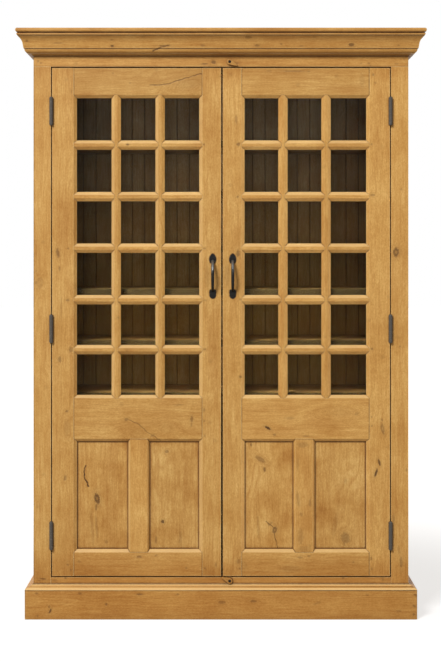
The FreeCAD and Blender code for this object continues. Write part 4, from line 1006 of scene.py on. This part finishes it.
class BOOKCASE_OT_glazing_bars(bpy.types.Operator):
    """Finish the upright and cross bars in waxed pine, and the beads in dark stain, a painted shade"""
    bl_idname = "bookcase.glazing_bars"
    bl_label = "Glazing bars"

    def execute(self, context):
        finish = context.scene.bookcase_pine
        for door in DOORS:
            uprights, crossings, beads = (node(door + "_" + part) for part in
                                          ("upright_bars", "cross_bars", "glazing_beads"))
            tone = DOOR_TONES[door]["bars"]
            # the slopes take a painted highlight and a painted light by the way they face
            shares, lee, _ = SLOPE_LIGHT[door]
            rubbed = [finish.pale * share for share in shares]
            pine(uprights, finish, "Z", tone, side_by_side(uprights.name, "X", 2), rubbed=rubbed, lee=lee,
                 arris=0.7)
            pine(crossings, finish, "X", tone, cross_bar_cells(crossings.name), rubbed=rubbed, lee=lee,
                 arris=0.7)
            # painted shade: the beads take the dark stain at a low tone for the shade that falls on them
            pine(beads, context.scene.bookcase_stain, "Z", 0.45, figure=0.68, arris=0.6)
            for piece in (uprights, crossings):
                soften(piece, 0.7 * finish.arris)
        return {"FINISHED"}


class BOOKCASE_OT_inside(bpy.types.Operator):
    """Finish the shelves, the bottom, the battens and the back boards in dark stain"""
    bl_idname = "bookcase.inside"
    bl_label = "Inside"

    def execute(self, context):
        finish = context.scene.bookcase_stain
        for name in INSIDE_PIECES:
            grain = "Y" if name == "shelf_battens" else "Z" if name == "back_boards" else "X"
            is_back = name == "back_boards"
            boards = side_by_side(name, "X", BACK_BOARDS) if is_back else None
            # painted shade: the fronts of the inside pieces, where the lamps light them, are darkened
            pine(node(name), finish, grain, 1.0 if is_back else 0.8, boards, crease=SHORT_CREASE,
                 front_shade=None if is_back else 0.02)
            soften(node(name), 0.8 * finish.arris, 1)
        return {"FINISHED"}


class BOOKCASE_OT_panes(bpy.types.Operator):
    """Glaze both doors"""
    bl_idname = "bookcase.panes"
    bl_label = "Panes"

    def execute(self, context):
        for door in DOORS:
            window_glass(node(door + "_glass"), context.scene.bookcase_glass)
        return {"FINISHED"}


class BOOKCASE_OT_hinges(bpy.types.Operator):
    """Finish the hinges and their screws in dark steel"""
    bl_idname = "bookcase.hinges"
    bl_label = "Hinges"

    def execute(self, context):
        finish = context.scene.bookcase_metals
        steel = metal("hinge steel", finish.steel, finish.bare_steel, grain=260.0, roughness=0.42,
                      dents=0.00008)
        for name in ("frame_hinge_leaves", "frame_hinge_screws", "hinge_pins", "left_hinge_leaves",
                     "left_hinge_screws", "right_hinge_leaves", "right_hinge_screws"):
            clothe(node(name), steel)
        return {"FINISHED"}


# Hands rub the grip bare from the lower height upwards, and most at the higher one; this wear also stands
# for a painted highlight on the grip's upper part.
GRIP_WEAR_AND_HIGHLIGHT = (1.196, 1.238)


class BOOKCASE_OT_handles(bpy.types.Operator):
    """Finish the forged handles, their nails and the turn-buttons' screws in black iron"""
    bl_idname = "bookcase.handles"
    bl_label = "Handles"

    def execute(self, context):
        finish = context.scene.bookcase_metals
        iron = metal("hammered iron", finish.iron, finish.bare_and_lit_iron, grain=190.0, roughness=0.34,
                     dents=0.0005, hands=GRIP_WEAR_AND_HIGHLIGHT)
        black = metal("black iron", finish.iron, finish.iron, grain=300.0, roughness=0.45, dents=0.00005)
        for door in DOORS:
            clothe(node(door + "_handle"), iron)
            clothe(node(door + "_handle_nails"), black)
        clothe(node("button_screws"), black)
        return {"FINISHED"}


class BOOKCASE_OT_turn_buttons(bpy.types.Operator):
    """Finish the two turn-buttons in waxed pine"""
    bl_idname = "bookcase.turn_buttons"
    bl_label = "Turn-buttons"

    def execute(self, context):
        finish = context.scene.bookcase_pine
        for name in ("top_turn_button", "bottom_turn_button"):
            pine(node(name), finish, "X", 0.92, ring=0.6, arris=0.5)
            soften(node(name), 0.4 * finish.arris)
        return {"FINISHED"}


# ---------- stage

FLOOR_REACH = 30.0
# Where the floor's lift to white starts to rise, and where it is whole.
NEAR_FLOOR, FAR_FLOOR = 0.9, 2.4
# The key light's size, where it stands and what it faces.
KEY_SIZE, KEY_SPOT, KEY_TARGET = (3.0, 3.0), (-3.9, -8.0, 7.6), (0.0, -0.2, 1.1)


def seen_directly(tree):
    """1 for rays that come from the camera, a mirror or through glass, and 0 for the rest."""
    path = nodes(tree, "ShaderNodeLightPath")
    return most(path["Is Camera Ray"], path["Is Glossy Ray"], path["Is Transmission Ray"])


def stage_floor(studio):
    """A plain pale floor that keeps the bookcase's shadow."""
    mesh = bpy.data.meshes.new("floor")
    corners = [(x * FLOOR_REACH, y * FLOOR_REACH, 0.0) for x, y in ((-1, -1), (1, -1), (1, 1), (-1, 1))]
    mesh.from_pydata(corners, [], [(0, 1, 2, 3)])
    floor = bpy.data.objects.new("floor", mesh)
    bpy.context.scene.collection.objects.link(floor)
    material, tree, shader = new_material("pale floor")
    away = nodes(tree, "ShaderNodeTexCoord")["Object"].work("LENGTH")
    glow = between(away, NEAR_FLOOR, FAR_FLOOR, studio.near_glow, studio.far_glow)
    feed(shader, {"Base Color": (*studio.floor, 1.0), "Roughness": 0.9, "Specular IOR Level": 0.0,
                  "Emission Color": (1.0, 1.0, 1.0, 1.0), "Emission Strength": seen_directly(tree) * glow})
    clothe(floor, material)


def white_surroundings(studio):
    """A white background in view, and an even light on the bookcase."""
    world = bpy.data.worlds.new("studio")
    world.use_nodes = True
    tree = world.node_tree
    tree.nodes.clear()
    seen = seen_directly(tree)
    tint = mixed(seen, (*studio.sky_colour, 1.0), (1.0, 1.0, 1.0, 1.0))
    sky = nodes(tree, "ShaderNodeBackground", {"Color": tint,
                                               "Strength": seen * (1.0 - studio.sky) + studio.sky})
    put(tree, "ShaderNodeOutputWorld", {"Surface": sky["Background"]})
    bpy.context.scene.world = world


def lamp(name, power, size, spot, target):
    """A soft rectangular light at spot, facing target."""
    light = bpy.data.lights.new(name, "AREA")
    light.shape = "RECTANGLE"
    light.size, light.size_y = size
    light.energy = power
    holder = bpy.data.objects.new(name, light)
    holder.location = spot
    holder.rotation_euler = (Vector(target) - Vector(spot)).to_track_quat("-Z", "Y").to_euler()
    bpy.context.scene.collection.objects.link(holder)


class BOOKCASE_OT_studio(bpy.types.Operator):
    """Set up the floor, the lights and the camera"""
    bl_idname = "bookcase.studio"
    bl_label = "Studio"

    def execute(self, context):
        studio = context.scene.bookcase_studio
        stage_floor(studio)
        white_surroundings(studio)
        lamp("key light", studio.key, KEY_SIZE, KEY_SPOT, KEY_TARGET)
        camera = bpy.data.objects.new("camera", bpy.data.cameras.new("camera"))
        camera.data.sensor_width = 36.0
        camera.data.lens = studio.lens
        camera.data.shift_x, camera.data.shift_y = studio.slide, studio.rise
        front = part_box("left_frame_stile")[0].y
        camera.location = (0.0, front - studio.distance, studio.eye)
        camera.rotation_euler = (math.pi / 2, 0.0, 0.0)
        context.scene.collection.objects.link(camera)
        context.scene.camera = camera
        context.scene.view_settings.view_transform = "Standard"
        return {"FINISHED"}


OPERATORS = (BOOKCASE_OT_case, BOOKCASE_OT_mouldings, BOOKCASE_OT_door_frames, BOOKCASE_OT_panels,
             BOOKCASE_OT_glazing_bars, BOOKCASE_OT_inside, BOOKCASE_OT_panes, BOOKCASE_OT_hinges,
             BOOKCASE_OT_handles, BOOKCASE_OT_turn_buttons, BOOKCASE_OT_studio)


class BOOKCASE_PT_pieces(bpy.types.Panel):
    bl_idname = "BOOKCASE_PT_pieces"
    bl_label = "Pine bookcase"
    bl_space_type = "VIEW_3D"
    bl_region_type = "UI"
    bl_category = "Bookcase"

    def draw(self, context):
        for name, kind in SETTINGS.items():
            box = self.layout.box()
            for field in kind.__annotations__:
                box.prop(getattr(context.scene, name), field)
        for operator in OPERATORS:
            self.layout.operator(operator.bl_idname)


def register():
    for kind in (*SETTINGS.values(), *OPERATORS, BOOKCASE_PT_pieces):
        bpy.utils.register_class(kind)
    for name, kind in SETTINGS.items():
        setattr(bpy.types.Scene, name, PointerProperty(type=kind))


def unregister():
    for name in SETTINGS:
        delattr(bpy.types.Scene, name)
    for kind in reversed((*SETTINGS.values(), *OPERATORS, BOOKCASE_PT_pieces)):
        bpy.utils.unregister_class(kind)


def main():
    register()
    for operator in OPERATORS:
        group, name = operator.bl_idname.split(".")
        getattr(getattr(bpy.ops, group), name)()


if __name__ == "__main__":
    main()
